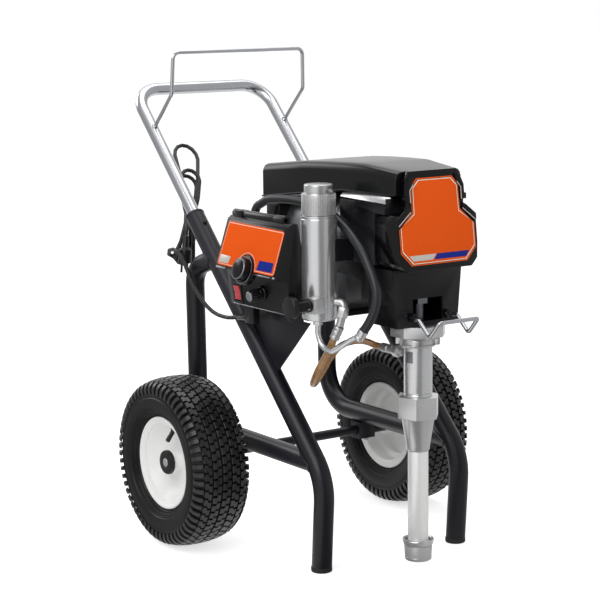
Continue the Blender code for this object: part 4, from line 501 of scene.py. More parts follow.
@dataclass(frozen=True)
class Finish:
    """A surface: its slot, colours, gloss and grain, each size in millimetres."""

    name: str
    slot: str
    colour: str
    second: str
    rough: Pair = (0.3, 0.4)
    metallic: float = 0.0
    ior: float = 1.5
    coat: float = 0.0
    grain: Grain = Grain.SPECKLE
    grain_size: float = 2.0
    relief: float = 0.0
    patch_size: float = 60.0
    patchy: float = 0.25
    worn: str = ""
    transmission: float = 0.0
    specular: float = 0.5

    def build(self) -> Material:
        """Make the material, once.

        Returns:
            The material, found again by its name.
        """
        found = bpy.data.materials.get(self.name)
        if found:
            return found
        made = bpy.data.materials.new(self.name)
        made.use_nodes = True
        made.diffuse_color = linear(self.colour)
        tree = made.node_tree
        shader = tree.nodes["Principled BSDF"]
        constants = {"Metallic": self.metallic, "IOR": self.ior, "Coat Weight": self.coat,
                     "Coat Roughness": COAT_ROUGHNESS, "Transmission Weight": self.transmission,
                     "Specular IOR Level": self.specular}
        for name, value in constants.items():
            shader.inputs[name].default_value = value
        place = add(tree, "ShaderNodeTexCoord").outputs["Object"]
        grain = self.grain_pattern(tree, place)
        patches = add(tree, "ShaderNodeTexNoise", {"Scale": 1000 / self.patch_size, "Detail": 3.0},
                      {"Vector": place}).outputs["Fac"]
        share = reckon(tree, "ADD", grain, -self.patchy, clamp=True)
        blend = reckon(tree, "MULTIPLY_ADD", patches, self.patchy * 2, share, clamp=True)
        colour = add(tree, "ShaderNodeMix", {"data_type": "RGBA"},
                     {0: blend, 6: linear(self.colour), 7: linear(self.second)}).outputs[2]
        if self.worn:
            colour = self.wear(tree, colour)
        tree.links.new(colour, shader.inputs["Base Color"])
        gloss = add(tree, "ShaderNodeMapRange",
                    {"To Min": self.rough[0], "To Max": self.rough[1]}, {"Value": blend})
        tree.links.new(gloss.outputs["Result"], shader.inputs["Roughness"])
        if self.relief:
            bump = add(tree, "ShaderNodeBump", {"Strength": 1.0, "Distance": self.relief * MM},
                       {"Height": grain})
            tree.links.new(bump.outputs["Normal"], shader.inputs["Normal"])
        return made

    def grain_pattern(self, tree: bpy.types.NodeTree, place: Any) -> Any:
        """Make the grain.

        Args:
            tree: the material's node tree.
            place: the socket that gives the place on the piece.

        Returns:
            The socket that holds the grain's height from 0 to 1.
        """
        fine = 1000 / self.grain_size
        stretch = {Grain.BRUSHED_Z: (1, 1, STREAK), Grain.TURNED_Z: (STREAK, STREAK, 1)}.get(
            self.grain, (1, 1, 1))
        scaled = add(tree, "ShaderNodeMapping", {"Scale": stretch}, {"Vector": place}).outputs[0]
        if self.grain is Grain.MESH:
            waves = [add(tree, "ShaderNodeTexWave", {"bands_direction": way, "Scale": fine / 2},
                         {"Vector": scaled}).outputs["Fac"] for way in ("DIAGONAL", "Z")]
            return reckon(tree, "MAXIMUM", *waves)
        detail = 1.0 if self.grain is Grain.CLOUD else 4.0
        return add(tree, "ShaderNodeTexNoise", {"Scale": fine, "Detail": detail},
                   {"Vector": scaled}).outputs["Fac"]

    def wear(self, tree: bpy.types.NodeTree, colour: Any) -> Any:
        """Lighten the raised edges, where handling rubs a surface."""
        edge = add(tree, "ShaderNodeNewGeometry").outputs["Pointiness"]
        mask = add(tree, "ShaderNodeMapRange", {"From Min": WORN_FROM, "From Max": WORN_TO,
                                                "To Max": WORN_SHARE},
                   {"Value": edge}).outputs["Result"]
        return add(tree, "ShaderNodeMix", {"data_type": "RGBA"},
                   {0: mask, 6: colour, 7: linear(self.worn)}).outputs[2]


# Gloss black powder coat: baked on, so it keeps a faint orange peel under its gloss.
POWDER_BLACK = Finish("powder_coat_black", "frame_black", "#0e0e15", "#15151e", (0.3, 0.38), ior=1.42,
                      grain_size=3.0, relief=0.02, worn="#2c2c33")
# Black nitrile rubber: dull and slightly grey.
FOOT_RUBBER = Finish("pad_rubber", "foot_rubber", "#151515", "#222222", (0.6, 0.75), grain_size=1.0,
                     relief=0.05)
# Moulded nylon: satin, with the fine grain of its tool.
NYLON_BLACK = Finish("nylon_black", "bush_plastic", "#101011", "#18181a", (0.34, 0.44), ior=1.42,
                     grain_size=0.9, relief=0.02, worn="#232326")
# Chromed steel tube: bright, with faint swirls from polishing.
CHROME = Finish("chrome_plate", "chrome", "#cfd0d3", "#bcbec3", (0.16, 0.24), metallic=1.0,
                grain_size=1.4)
# White enamel: gloss, baked on pressed steel.
RIM_ENAMEL = Finish("rim_enamel", "rim_white", "#fbfbfa", "#f3f3f1", (0.3, 0.42), coat=0.1,
                    grain_size=2.5, relief=0.03, patchy=0.3)
# Tyre rubber: carbon black, dry on the walls and a little shiny on the blocks.
TYRE_RUBBER = Finish("wall_rubber", "tyre_rubber", "#0a0909", "#151314", (0.36, 0.48), ior=1.36,
                     grain_size=1.6, relief=0.1, worn="#232326")
# The running blocks are shinier, with small pits that glint.
TREAD_RUBBER = Finish("tread_rubber", "tyre_rubber", "#0a0a0b", "#171719", (0.24, 0.4), ior=1.48,
                      grain_size=2.4, relief=0.35, worn="#2c2c2f")
# Turned bright steel.
BRIGHT_STEEL = Finish("bright_steel", "box_black", "#b9bbbe", "#9a9ca0", (0.25, 0.36), metallic=1.0,
                      grain_size=0.8)
# Black paint on cast aluminium: smooth gloss over a soft cast surface.
CAST_BLACK = Finish("cast_black", "housing_black", "#08080a", "#0e0e11", (0.14, 0.22), ior=1.34,
                    grain_size=6.0, relief=0.05, grain=Grain.CLOUD, worn="#2b2b2f")
# Gloss black ABS: deep and almost mirror smooth.
COVER_GLOSS = Finish("abs_gloss_black", "cover_black", "#08080a", "#0e0e10", (0.1, 0.17), ior=1.36,
                     grain_size=8.0, relief=0.02, grain=Grain.CLOUD)
# Textured ABS of the shroud: spark-eroded grain.
SHROUD_BLACK = Finish("abs_satin_black", "cover_black", "#090a0b", "#0f1012", (0.2, 0.28), ior=1.38,
                      grain_size=1.2, relief=0.01)
# Cast aluminium of the motor, tumbled and bare.
CAST_SILVER = Finish("cast_aluminium", "motor_aluminium", "#a9abae", "#8f9195", (0.36, 0.48),
                     metallic=0.9, grain_size=5.0, relief=0.05, grain=Grain.CLOUD, worn="#c6c7c9")
# Printed vinyl labels under a clear film.
LABEL_ORANGE = Finish("label_vermilion", "label_orange", "#ec5e22", "#e6581c", (0.5, 0.58),
                      grain_size=1.5, patchy=0.1, specular=0.0)
LABEL_BLUE = Finish("label_blue", "label_orange", "#27368f", "#222f82", (0.5, 0.58), grain_size=1.5,
                    patchy=0.1, specular=0.0)
# Pale silver print; this finish also makes the painted highlights on the cover's facet edges.
LABEL_SILVER = Finish("label_silver", "label_orange", "#d9d6d0", "#bfbcb6", (0.26, 0.34),
                      metallic=0.2, grain_size=3.0, patchy=0.3)
LABEL_CREAM = Finish("label_cream", "label_orange", "#f6e2cf", "#f0d8c2", (0.3, 0.36), grain_size=1.5,
                     patchy=0.1)
# Polished steel of the filter and the pump cylinder, with the lathe's fine rings. It also makes the
# painted highlight strips on the housing's ledges.
POLISHED_STEEL = Finish("polished_steel", "filter_polished", "#dcdcdd", "#cbccce", (0.2, 0.28),
                        metallic=0.8, grain=Grain.TURNED_Z, grain_size=0.5, relief=0.004)
# Zinc plate: bright and slightly clouded.
ZINC_PLATE = Finish("zinc_plate", "pump_plated", "#d4d4d4", "#b9babb", (0.24, 0.34), metallic=0.8,
                    grain_size=1.2, relief=0.01, worn="#e6e6e6")
# Pale plated suction tube.
PALE_TUBE = Finish("pale_plate", "suction_silver", "#f6f6f5", "#ededec", (0.3, 0.38), metallic=0.3,
                   grain=Grain.BRUSHED_Z, grain_size=0.6)
# Woven steel mesh of the strainer: wires about half a millimetre apart, drawn coarser to show.
STRAINER_MESH = Finish("strainer_mesh", "pump_plated", "#5c5c5c", "#e6e6e6", (0.35, 0.5),
                       metallic=0.6, grain=Grain.MESH, grain_size=2.6, relief=0.4, patchy=0.0)
# Satin black paint of the control box.
BOX_SATIN = Finish("box_satin_black", "box_black", "#09090b", "#101012", (0.2, 0.28), ior=1.38,
                   grain_size=1.6, relief=0.02, worn="#2c2c31")
GREY_PRINT = Finish("knob_ring_grey", "knob_black", "#84868a", "#6f7175", (0.3, 0.4), metallic=0.6,
                    grain_size=1.0)
# Red polycarbonate lens of the lit rocker.
RED_LENS = Finish("red_lens", "switch_red", "#c41c2a", "#e2404b", (0.12, 0.2), coat=0.5,
                  grain_size=4.0, grain=Grain.CLOUD, transmission=0.2)
# Cord sheath and black hose: extruded rubber.
CORD_RUBBER = Finish("cord_rubber", "cord_black", "#131314", "#1f1f21", (0.4, 0.52), grain_size=1.0,
                     relief=0.02)
HOSE_RUBBER = Finish("hose_rubber", "hose_black", "#1a1b20", "#26272d", (0.34, 0.46), grain_size=1.0,
                     relief=0.02)
# Translucent amber nylon hose.
HOSE_AMBER = Finish("hose_amber", "hose_brown", "#9a6a3e", "#c79a68", (0.18, 0.28), coat=0.3,
                    grain=Grain.CLOUD, grain_size=14.0, transmission=0.25)
# Machined steel, a darker grey. On the pump rod and the connecting rod, the dark tone is also painted
# shade for their place inside the housing's window.
DARK_STEEL = Finish("machined_steel", "drive_steel", "#8b8d91", "#6d6f73", (0.3, 0.42), metallic=1.0,
                    grain_size=0.8)


@dataclass
class Assembly:
    """A group of pieces that is made and dressed together."""

    frame: dict[str, Any]
    pieces: list[Object] = field(default_factory=list)

    def keep(self, target: Object, finish: Finish, *nodes: str, body: Body = Body.BASE,
             slot: str = "") -> Object:
        """Dress a piece, hang it on its body and say which solids it stands for.

        Args:
            target: the piece.
            finish: its finish.
            nodes: the solids that it replaces.
            body: the body it moves with.
            slot: the part's material slot, where it isn't the finish's own; not used.

        Returns:
            The same piece.
        """
        target.data.materials.clear()
        target.data.materials.append(finish.build())
        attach(target, body.value)
        if nodes:
            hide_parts(*nodes)
        self.pieces.append(target)
        LOG.info("%s: %s", type(self).__name__, target.name)
        return target

    def dress(self, node: str, finish: Finish) -> None:
        """Give a solid that stays its finish."""
        solid = self.frame["nodes"][node]
        solid.data.materials.clear()
        solid.data.materials.append(finish.build())
        LOG.info("%s: solid %s", type(self).__name__, node)

    def refined(self, node: str, ease: float, segments: int = 2, angle: float = 30.0) -> Object:
        """Copy a solid, merge its loose triangles and ease its edges.

        Args:
            node: the solid's name.
            ease: how wide the eased edges are.
            segments: the faces across an eased edge.
            angle: the least angle of an edge that is eased.

        Returns:
            The copy, named after the solid.
        """
        copy = bpy.data.objects.new(f"{node}_finished", self.frame["nodes"][node].data.copy())
        bpy.context.scene.collection.objects.link(copy)
        with editing(copy):
            bpy.ops.mesh.remove_doubles(threshold=SAME_PLACE)
            bpy.ops.mesh.dissolve_limited(angle_limit=FLAT_ANGLE)
            bpy.ops.mesh.customdata_custom_splitnormals_clear()
        return tidy(copy, ease, segments, angle)


# ---------------------------------------------------------------- cart
@dataclass
class CartFrame(Assembly):
    """The bent tubes, the cradle, the axle and the feet."""

    track: float = 159.0
    radius: float = 19.0
    leg_y: float = -314.6
    pad_top: float = 9.9
    lean: float = 0.0725
    knee: Pair = (-327.35, 175.8)
    rail_z: float = 202.5
    axle_z: float = 165.0

    def build(self) -> None:
        """Make the whole frame."""
        for side in Side:
            self.main_tube(side)
            self.rear_tube(side)
            self.foot(side)
            self.bracket(side)
            self.bush(side)
        self.keep(self.refined("cradle", 0.8), POWDER_BLACK, "cradle")
        self.axle()

    def main_tube(self, side: Side) -> None:
        """Make the tube that is leg, slope and sleeve in one."""
        x = side.value * self.track
        foot = (x, self.leg_y - self.lean * self.pad_top, self.pad_top)
        path = rounded([foot, (x, *self.knee), sleeve(x, 0)], [100], 16)
        self.keep(tube(f"main_tube_{side.label}", path, self.radius, 40), POWDER_BLACK,
                  f"frame_tube_{side.label}")

    def rear_tube(self, side: Side) -> None:
        """Make the rail, the upright and the prop, with a weld bead at each end."""
        x = side.value * self.track
        ends = [(x, -300, self.rail_z), (x, 112, self.rail_z), (x, 118, 520), sleeve(x, -105.7)]
        path = rounded(ends, [80, 50], 14)
        made = tube(f"rear_bent_tube_{side.label}", path, self.radius, 40)
        self.keep(made, POWDER_BLACK, f"rear_tube_{side.label}")
        beads = [self.weld(f"weld_low_{side.label}", ends[1], ends[0]),
                 self.weld(f"weld_high_{side.label}", ends[2], ends[3])]
        for bead in beads:
            self.keep(bead, POWDER_BLACK)

    def weld(self, name: str, start: Point, end: Point) -> Object:
        """Make the bead where a tube meets the slope from behind."""
        top = Vector(sleeve(start[0], 0))
        normal = sleeve_way(0, 1)
        run = (Vector(end) - Vector(start)).normalized()
        across = Vector((1, 0, 0))
        beside = run.cross(across)
        loop = []
        for step in range(37):
            angle = math.tau * step / 36
            spoke = (across * math.cos(angle) + beside * math.sin(angle)) * self.radius
            foot = Vector(start) + spoke
            reach = (-self.radius * abs(math.sin(angle)) - (foot - top).dot(normal))
            loop.append(tuple(foot + run * (reach / run.dot(normal))))
        return tube(name, loop, 2.6, 10)

    def foot(self, side: Side) -> None:
        """Make the rubber pad under a leg."""
        x = side.value * self.track
        profile = [(0, 0.2), (18.2, 0.2), (19.7, 1.8), (19.7, 8.4), (19.1, 9.7), (0, 9.7)]
        made = turned(f"foot_pad_{side.label}", profile, (x, self.leg_y, 0), UP, 48, 0.5)
        self.keep(made, FOOT_RUBBER, f"foot_cap_{side.label}")

    def bracket(self, side: Side) -> None:
        """Make the block that hangs the axle under a rail, with its two screws."""
        label = side.label
        self.keep(self.refined(f"axle_bracket_{label}", 1.2), POWDER_BLACK, f"axle_bracket_{label}")
        heads = []
        for shift in (-11, 11):
            heads.append(hexagon(f"bolt_{label}_{shift}", (side.value * 168, shift, 147.9),
                                 (0, 0, -1), 10, 4, 30))
        self.keep(joined(f"axle_bolts_{label}", heads), ZINC_PLATE)

    def bush(self, side: Side) -> None:
        """Make the plastic collar at the mouth of a sleeve."""
        x = side.value * self.track
        axis = sleeve_way(1, 0)
        profile = [(13.1, -4), (18.9, -4), (18.9, 0.3), (19.6, 0.6), (19.6, 4.6), (17.5, 6),
                   (14.5, 6.6), (13.1, 6.6)]
        made = turned(f"sleeve_bush_{side.label}", profile, sleeve(x, 0), axis, 48, 0.5, True)
        self.keep(made, NYLON_BLACK, f"handle_bush_{side.label}")

    def axle(self) -> None:
        """Make the axle with its collars."""
        half = [(9.5, 190.5), (12, 190.5), (12, 221.9), (8, 221.9), (8, 303)]
        profile = [(0, -303), *mirrored(half), *half, (0, 303)]
        made = turned("wheel_axle", profile, (0, 0, self.axle_z), (1, 0, 0), 40, 0.5)
        self.keep(made, POWDER_BLACK, "axle", slot="axle_steel")


@dataclass
class Handle(Assembly):
    """The pull-out handle, its rack and its snap buttons."""

    track: float = 159.0
    radius: float = 12.7
    reach: float = 338.0
    rack_foot: float = 228.0
    rack_rise: float = 108.4
    rack_top: Point = (156.0, 189.0, 942.7)
    button_along: float = -30.0

    def build(self) -> None:
        """Make the handle."""
        corners = [sleeve(-self.track, -100), sleeve(-self.track, self.reach),
                   sleeve(self.track, self.reach), sleeve(self.track, -100)]
        bow = tube("handle_bow", rounded(corners, [56, 56], 16), self.radius, 40)
        self.keep(bow, CHROME, "handle", body=Body.HANDLE)
        self.rack()
        for side in Side:
            self.snap(side)

    def rack(self) -> None:
        """Make the wire rack with its two welded feet."""
        top_x, top_y, top_z = self.rack_top
        halves = [[sleeve(side.value * self.track, self.rack_foot, 11.5),
                   sleeve(side.value * self.track, self.rack_foot, self.rack_rise),
                   (side.value * top_x, top_y, top_z)] for side in Side]
        path = rounded(halves[0] + halves[1][::-1], [14] * 4, 8)
        self.keep(tube("hose_rack_wire", path, 4.0, 20), CHROME, "hose_rack", body=Body.HANDLE)
        profile = [(0, 0), (7.5, 0), (6.5, 1.6), (4.6, 3.6), (4, 5.5), (0, 5.5)]
        for side in Side:
            foot = sleeve(side.value * self.track, self.rack_foot, 11.8)
            bead = turned(f"rack_weld_{side.label}", profile, foot, sleeve_way(0, 1), 24, 0.4)
            self.keep(bead, CHROME, body=Body.HANDLE)

    def snap(self, side: Side) -> None:
        """Make the domed button that locks a leg."""
        foot = sleeve(side.value * self.track, self.button_along, 13.1)
        profile = [(0, 0), (4, 0), (4, 9.5), (3.4, 11), (2.2, 11.7), (0, 11.9)]
        body = Body.SNAP_LEFT if side is Side.LEFT else Body.SNAP_RIGHT
        made = turned(f"snap_dome_{side.label}", profile, foot, sleeve_way(0, 1), 24, 0.2)
        self.keep(made, NYLON_BLACK, f"snap_button_{side.label}", body=body, slot="chrome")


@dataclass
class Wheel(Assembly):
    """A wheel: tyre with its tread, pressed rim, hub cap and valve."""

    side: Side = Side.LEFT
    x: float = 266.3
    axle_z: float = 165.0
    pitches: int = 60
    depth: float = 6.0
    gap: float = 1.9
    slant: float = 2.6
    turn: float = 0.8
    crease: float = 28.0
    lug_half: float = 4.9
    widest: float = 59.6
    crown: tuple[Pair, ...] = ((0, 165.0), (20, 164.3), (34, 162.4), (42, 160.2), (48, 157.0),
                               (54, 150.5), (58, 142.0), (59.6, 132.0))

    @property
    def body(self) -> Body:
        """Return the body that the wheel turns with."""
        return Body.WHEEL_LEFT if self.side is Side.LEFT else Body.WHEEL_RIGHT

    @property
    def label(self) -> str:
        """Return the side's name, which ends the names of the pieces."""
        return self.side.name.lower()

    @property
    def out(self) -> Point:
        """Return the direction away from the cart."""
        return (self.side.value, 0, 0)

    @property
    def centre(self) -> Point:
        """Return the wheel's centre."""
        return (self.side.value * self.x, 0, self.axle_z)

    def build(self) -> None:
        """Make the wheel."""
        self.carcass()
        self.tread()
        self.rim()
        self.hub_cap()
        self.valve()

    def top(self, across: float) -> float:
        """Return the tread's radius at a distance from the middle plane."""
        place = abs(across)
        for (near, high), (far, low) in pairwise(self.crown):
            if place <= far:
                return high + (low - high) * (place - near) / (far - near)
        return self.crown[-1][1]

    def carcass(self) -> None:
        """Make the tyre's body with the rings moulded on its walls."""
        wall = [(85, 42), (92.4, 42.2), (95, 46.4), (98, 47.0), (100, 51.6), (102.4, 52.2),
                (103.4, 54.8), (106, 55.0), (107.4, 57.0), (113, 58.4), (122, 59.2), (127, 59.0),
                (128.4, 57.6), (131, 57.6), (132.4, 58.4), (136, 57.4), (141, 54.5), (147, 50.5),
                (151, 46), (154.2, 40), (156.6, 30), (158.4, 15)]
        inner = [(146, 0), (146, 30), (136, 48), (120, 52), (98, 44), (90, 36), (85, 34)]
        profile = [*wall, (159, 0), *mirrored(wall), *mirrored(inner[1:]), *inner]
        made = turned(f"tyre_body_{self.label}", profile, self.centre, self.out, 120, 0, True)
        self.keep(made, TYRE_RUBBER, f"tyre_{self.label}", body=self.body)

    def tread(self) -> None:
        """Make one pitch of interlocking blocks and repeat it round the tyre."""
        step = math.tau * self.axle_z / self.pitches / 2
        reach = step - self.gap
        columns = ((0.0, 8.8, 0.0, 1), (20.4, 8.6, step, -1), (38.4, 7.0, 0.0, 1))
        blocks = []
        for middle, half, shift, lean in columns:
            for sign in ((1,) if middle == 0 else (1, -1)):
                slant = self.slant * lean * sign
                corners = [(-half, -slant), (-self.turn, -slant), (self.turn, slant), (half, slant)]
                outline = [*[(x, v - reach) for x, v in corners],
                           *[(x, v + reach) for x, v in reversed(corners)]]
                shape = [(x + middle * sign, v + shift) for x, v in outline]
                blocks.append(self.tread_block(f"block_{middle}_{sign}", shape))
        for sign in (1, -1):
            blocks.append(self.shoulder(f"lug_{sign}", sign, step))
        made = joined(f"tread_{self.label}", blocks)
        around(made, self.pitches, self.centre, (1, 0, 0))
        only(made)
        bpy.ops.object.shade_smooth_by_angle(angle=math.radians(self.crease))
        self.keep(made, TREAD_RUBBER, body=self.body)

    def tread_block(self, name: str, shape: Sequence[Pair]) -> Object:
        """Make a block of the tread from its outline across and along the tyre."""
        mid_x = sum(x for x, _ in shape) / len(shape)
        mid_v = sum(v for _, v in shape) / len(shape)
        loops = []
        for lift, shrink in ((-self.depth, 1.0), (-0.9, 0.97), (0.0, 0.88)):
            loop = []
            for x, v in shape:
                near_x = mid_x + (x - mid_x) * shrink
                near_v = mid_v + (v - mid_v) * shrink
                radius = self.top(near_x) + lift
                height = math.sqrt(radius ** 2 - near_v ** 2)
                loop.append((self.centre[0] + near_x, near_v, self.axle_z + height))
            loops.append(loop)
        return bridged(name, loops)

    def shoulder(self, name: str, sign: int, shift: float) -> Object:
        """Make a lug that runs from the tread down the wall."""
        loops = []
        half = self.lug_half
        for across, low, high in ((47.2, 152.0, 158.4), (52.6, 148.0, 154.6), (57.0, 140.0, 148.0),
                                  (58.4, 136.0, 140.5)):
            loop = []
            for v, radius, extra in ((-half, low, 0), (half, low, 0), (half - 0.7, high, 1.6),
                                     (-half + 0.7, high, 1.6)):
                turn = (v + shift) / self.axle_z
                loop.append((self.centre[0] + sign * min(across + extra, self.widest),
                             math.sin(turn) * radius, self.axle_z + math.cos(turn) * radius))
            loops.append(loop)
        return bridged(name, loops)

    def rim(self) -> None:
        """Make the pressed rim: the barrel's outside, its inside, the dish and the hub."""
        barrel = [(87.5, 45.2), (89.6, 44.6), (90.2, 43), (89.4, 41.6), (86, 41.4), (80, 41.2),
                  (77, 39), (76.5, 32), (76, 17), (72, 13.4), (67.2, 11)]
        behind = [(84.5, -43.8), (77, -43.4), (74.4, -41), (74, -32), (73.6, -18), (70, -15.4),
                  (64.4, -12), (64, 1), (58, 2.8), (50, 5.0), (42, 6.4), (36, 7.0), (19, 7.0)]
        hub = [(18.5, 6), (18.5, -44), (8.3, -44), (8.3, 30), (18.5, 30), (18.5, 14.4)]
        dish = [(20.5, 11.8), (30, 10.4), (38, 10.2), (46, 11.2), (54, 14.4), (60, 18.6),
                (65.4, 23.6), (70, 29.0), (73.6, 34.0), (76.0, 36.6), (79.6, 38.2), (81.6, 41.4),
                (84.5, 43.8)]
        profile = [*barrel, (66.5, 6), (66.5, -9), *mirrored(barrel), *behind, *hub, *dish]
        made = turned(f"rim_pressed_{self.label}", profile, self.centre, self.out, 96, 0.4, True)
        self.keep(made, RIM_ENAMEL, f"rim_{self.label}", body=self.body)

    def hub_cap(self) -> None:
        """Make the black cap on the axle's end, with a push nut in its middle."""
        profile = [(8.5, 30.4), (23.5, 30.4), (23.5, 36.0), (22.4, 38.6), (19.4, 40.0),
                   (10.4, 40.4), (9.4, 39.0), (0, 39.0), (0, 36.8), (8.5, 36.8)]
        made = turned(f"axle_cap_{self.label}", profile, self.centre, self.out, 48, 0.3, True)
        self.keep(made, NYLON_BLACK, f"hub_cap_{self.label}")
        start = (self.centre[0] + self.side.value * 38.9, 0, self.axle_z)
        nut = turned(f"push_nut_{self.label}", [(0, 0), (8.8, 0), (8.0, 1.0), (5.0, 1.5), (0, 1.7)],
                     start, self.out, 32, 0.3)
        self.keep(nut, ZINC_PLATE, slot="axle_steel")

    def valve(self) -> None:
        """Make the rubber valve stem with its cap."""
        turn = self.side.value
        root = (self.centre[0] + turn * 21.0, -6.8, self.axle_z + 64.9)
        aim = Vector((turn * 18.5, -5.6, -19.0)).normalized()
        profile = [(0, 0), (7.0, 0), (6.4, 3), (4.6, 6), (4.2, 16), (3.9, 17), (4.6, 17.6),
                   (4.6, 27.8), (3.4, 29), (0, 29)]
        made = turned(f"valve_{self.label}", profile, root, aim, 24, 0.3)
        self.keep(made, NYLON_BLACK, f"valve_stem_{self.label}", body=self.body, slot="tyre_rubber")


# ---------------------------------------------------------------- drive unit
def face_y(z: float) -> float:
    """Return where the front cover's leaning face is at a height."""
    return -464.0 + (z - 580.0) * 0.119


@dataclass
class DriveUnit(Assembly):
    """The motor, the drive housing, the front cover and the shroud."""

    motor_z: float = 605.0
    stations: tuple[tuple[float, float, float, float], ...] = (
        (-431.7, 75, 744, 700), (-340, 83, 753, 700), (-290, 86, 752.5, 700),
        (-220, 90, 750, 691), (-165, 93, 747, 685), (-45, 101, 734.5, 670))
    label_half: tuple[Pair, ...] = ((62, 580), (84, 603), (84, 645), (53, 672), (52, 718),
                                    (39, 731))

    def build(self) -> None:
        """Make the drive unit."""
        self.motor()
        self.shroud()
        self.keep(self.refined("drive_housing", 1.6, 3), CAST_BLACK, "drive_housing")
        self.keep(self.refined("front_cover", 2.6, 3), COVER_GLOSS, "front_cover")
        self.label()
        self.facets()
        self.ledge()
        # Of these, the connecting rod's darker steel is partly painted shade, for its place inside
        # the housing's window.
        for node in ("rotor", "crank_gear", "con_rod"):
            self.dress(node, DARK_STEEL)

    def motor(self) -> None:
        """Make the motor's body, its rear vents and its foot."""
        profile = [(0, 0), (56, 0), (60, 3), (78, 3), (85, 7), (88, 14), (88, 40), (86, 41.5),
                   (86, 44), (88, 45.5), (88, 188), (86, 189.5), (86, 192), (88, 193.5),
                   (88, 231), (0, 231)]
        body = turned("motor_body", profile, (0, -52, self.motor_z), (0, -1, 0), 72, 0.8)
        foot = block("motor_foot", (-60, -260, 472.4), (60, -100, 545), 3)
        case = joined("motor_case", [body, foot])
        self.keep(case, CAST_SILVER, "motor")
        slot = block("vent", (-2.2, -52.4, self.motor_z + 36), (2.2, -51.7, self.motor_z + 54), 0.2)
        vents = around(slot, 24, (0, 0, self.motor_z), (0, 1, 0))
        vents.name = "motor_vents"
        self.keep(vents, FOOT_RUBBER, slot="housing_black")
        heads = []
        for x in (-48, 48):
            for y in (-245, -115):
                heads.append(hexagon(f"motor_bolt_{x}_{y}", (x * 1.42, y, 472.2), UP, 13, 6, 15))
        self.keep(joined("motor_bolts", heads), ZINC_PLATE)

    def section(self, y: float, half: float, top: float, low: float) -> list[Point]:
        """Return the shroud's section at one station."""
        right = [(half, low), (half, top - 14), (half - 2, top - 8), (half - 5.5, top - 3.4),
                 (half - 11, top - 0.8), (half - 17, top), (half * 0.4, top + 0.0)]
        return [(x, y, z) for x, z in [*right, *[(-x, z) for x, z in reversed(right)]]]

    def shroud(self) -> None:
        """Make the shroud as a shell that is open below, its lips, and what shows under it."""
        shell = bridged("motor_shroud", [self.section(*place) for place in self.stations], 2.0, 3,
                        14.0)
        wall = 3
        inner = []
        for index, (y, half, top, low) in enumerate(self.stations):
            shift = {0: wall, len(self.stations) - 1: -wall}.get(index, 0)
            inner.append(self.section(y + shift, half - wall, top - wall, low - 12))
        carve(shell, bridged("shroud_hollow", inner))
        self.keep(tidy(shell), SHROUD_BLACK, "shroud")
        (y_far, half_far, _, low_far), (y_near, half_near, _, low_near) = (
            self.stations[-1], self.stations[-3])
        lips = []
        flanges = []
        for side in Side:
            edge = [(side.value * (half + 0.9), y, low + 2.2) for y, half, _, low in self.stations]
            lips.append(tube(f"lip_{side.label}", edge, 1.7, 10))
            x_far = side.value * (half_far - 1)
            x_near = side.value * (half_near - 1)
            outline = [(x_far, y_far - 1, low_far + 1), (x_near, y_near, low_near + 1),
                       (x_near, y_near, low_near - 5), (x_far, y_far - 1, low_far - 5)]
            flanges.append(pushed(f"flange_{side.label}", outline, (-side.value * 8, 0, 0), 0.8))
        self.keep(joined("shroud_lips", lips), SHROUD_BLACK)
        self.keep(joined("motor_flanges", flanges), CAST_SILVER)
        half = [(-92, 668), (-97, 655), (-97, 622), (-70, 600)]
        cowl = [(x, -50, z) for x, z in [*half, *[(-x, z) for x, z in reversed(half)]]]
        self.keep(pushed("motor_cowl", cowl, (0, -46, 0), 3.0, 3), SHROUD_BLACK)

    def on_face(self, half: Sequence[Pair], lift: float) -> list[Point]:
        """Mirror half an outline and lay it on the cover's face."""
        whole = [*half, *[(-x, z) for x, z in reversed(half)]]
        return [(x, face_y(z) - lift, z) for x, z in whole]

    def grown(self, by: float) -> list[Pair]:
        """Return the label's half outline, grown or shrunk about its middle."""
        grown = []
        for x, z in self.label_half:
            grown.append((x + by, z + by * (1.0 if z > 660 else -1.0)))
        return grown

    def label(self) -> None:
        """Make the label: orange edge, black gap, pale line, orange middle and two stripes."""
        layers = ((self.grown(1.2), 0.2, 0.7, "label_edge", LABEL_ORANGE),
                  (self.grown(-0.8), 0.9, 0.5, "label_field", COVER_GLOSS),
                  (self.grown(-1.6), 1.35, 0.25, "label_line", LABEL_CREAM),
                  (self.grown(-3.2), 1.5, 0.3, "label_middle", LABEL_ORANGE))
        for half, lift, thick, name, finish in layers:
            made = pushed(name, self.on_face(half, lift), (0, -thick, 0), 0.15)
            nodes = ["front_label"] if name == "label_field" else []
            self.keep(made, finish, *nodes, slot="label_orange")
        grey = [(-60, 587), (-16, 587), (-8, 597), (-68, 597)]
        blue = [(-13, 587), (60, 587), (68, 597), (-5, 597)]
        for name, outline, finish in (("stripe_pale", grey, LABEL_SILVER),
                                      ("stripe_blue", blue, LABEL_BLUE)):
            points = [(x, face_y(z) - 1.85, z) for x, z in outline]
            self.keep(pushed(name, points, (0, -0.3, 0), 0.08), finish, slot="label_orange")

    def facets(self) -> None:
        """Make the raised wedges beside the label's notches, with pale silver lines on their edges as
        painted highlights.
        """
        wedge = [(57, 688), (57, 712), (49, 722), (46, 737), (58, 735), (66, 716), (66, 690)]
        low = [(58, 672), (88, 648), (90, 652), (90, 662), (68, 680), (60, 684)]
        for side in Side:
            for name, outline in (("facet_high", wedge), ("facet_low", low)):
                points = [(side.value * x, face_y(z) + 0.3, z) for x, z in outline]
                made = pushed(f"{name}_{side.label}", points, (0, -3.0, 0), 1.0)
                self.keep(made, COVER_GLOSS)
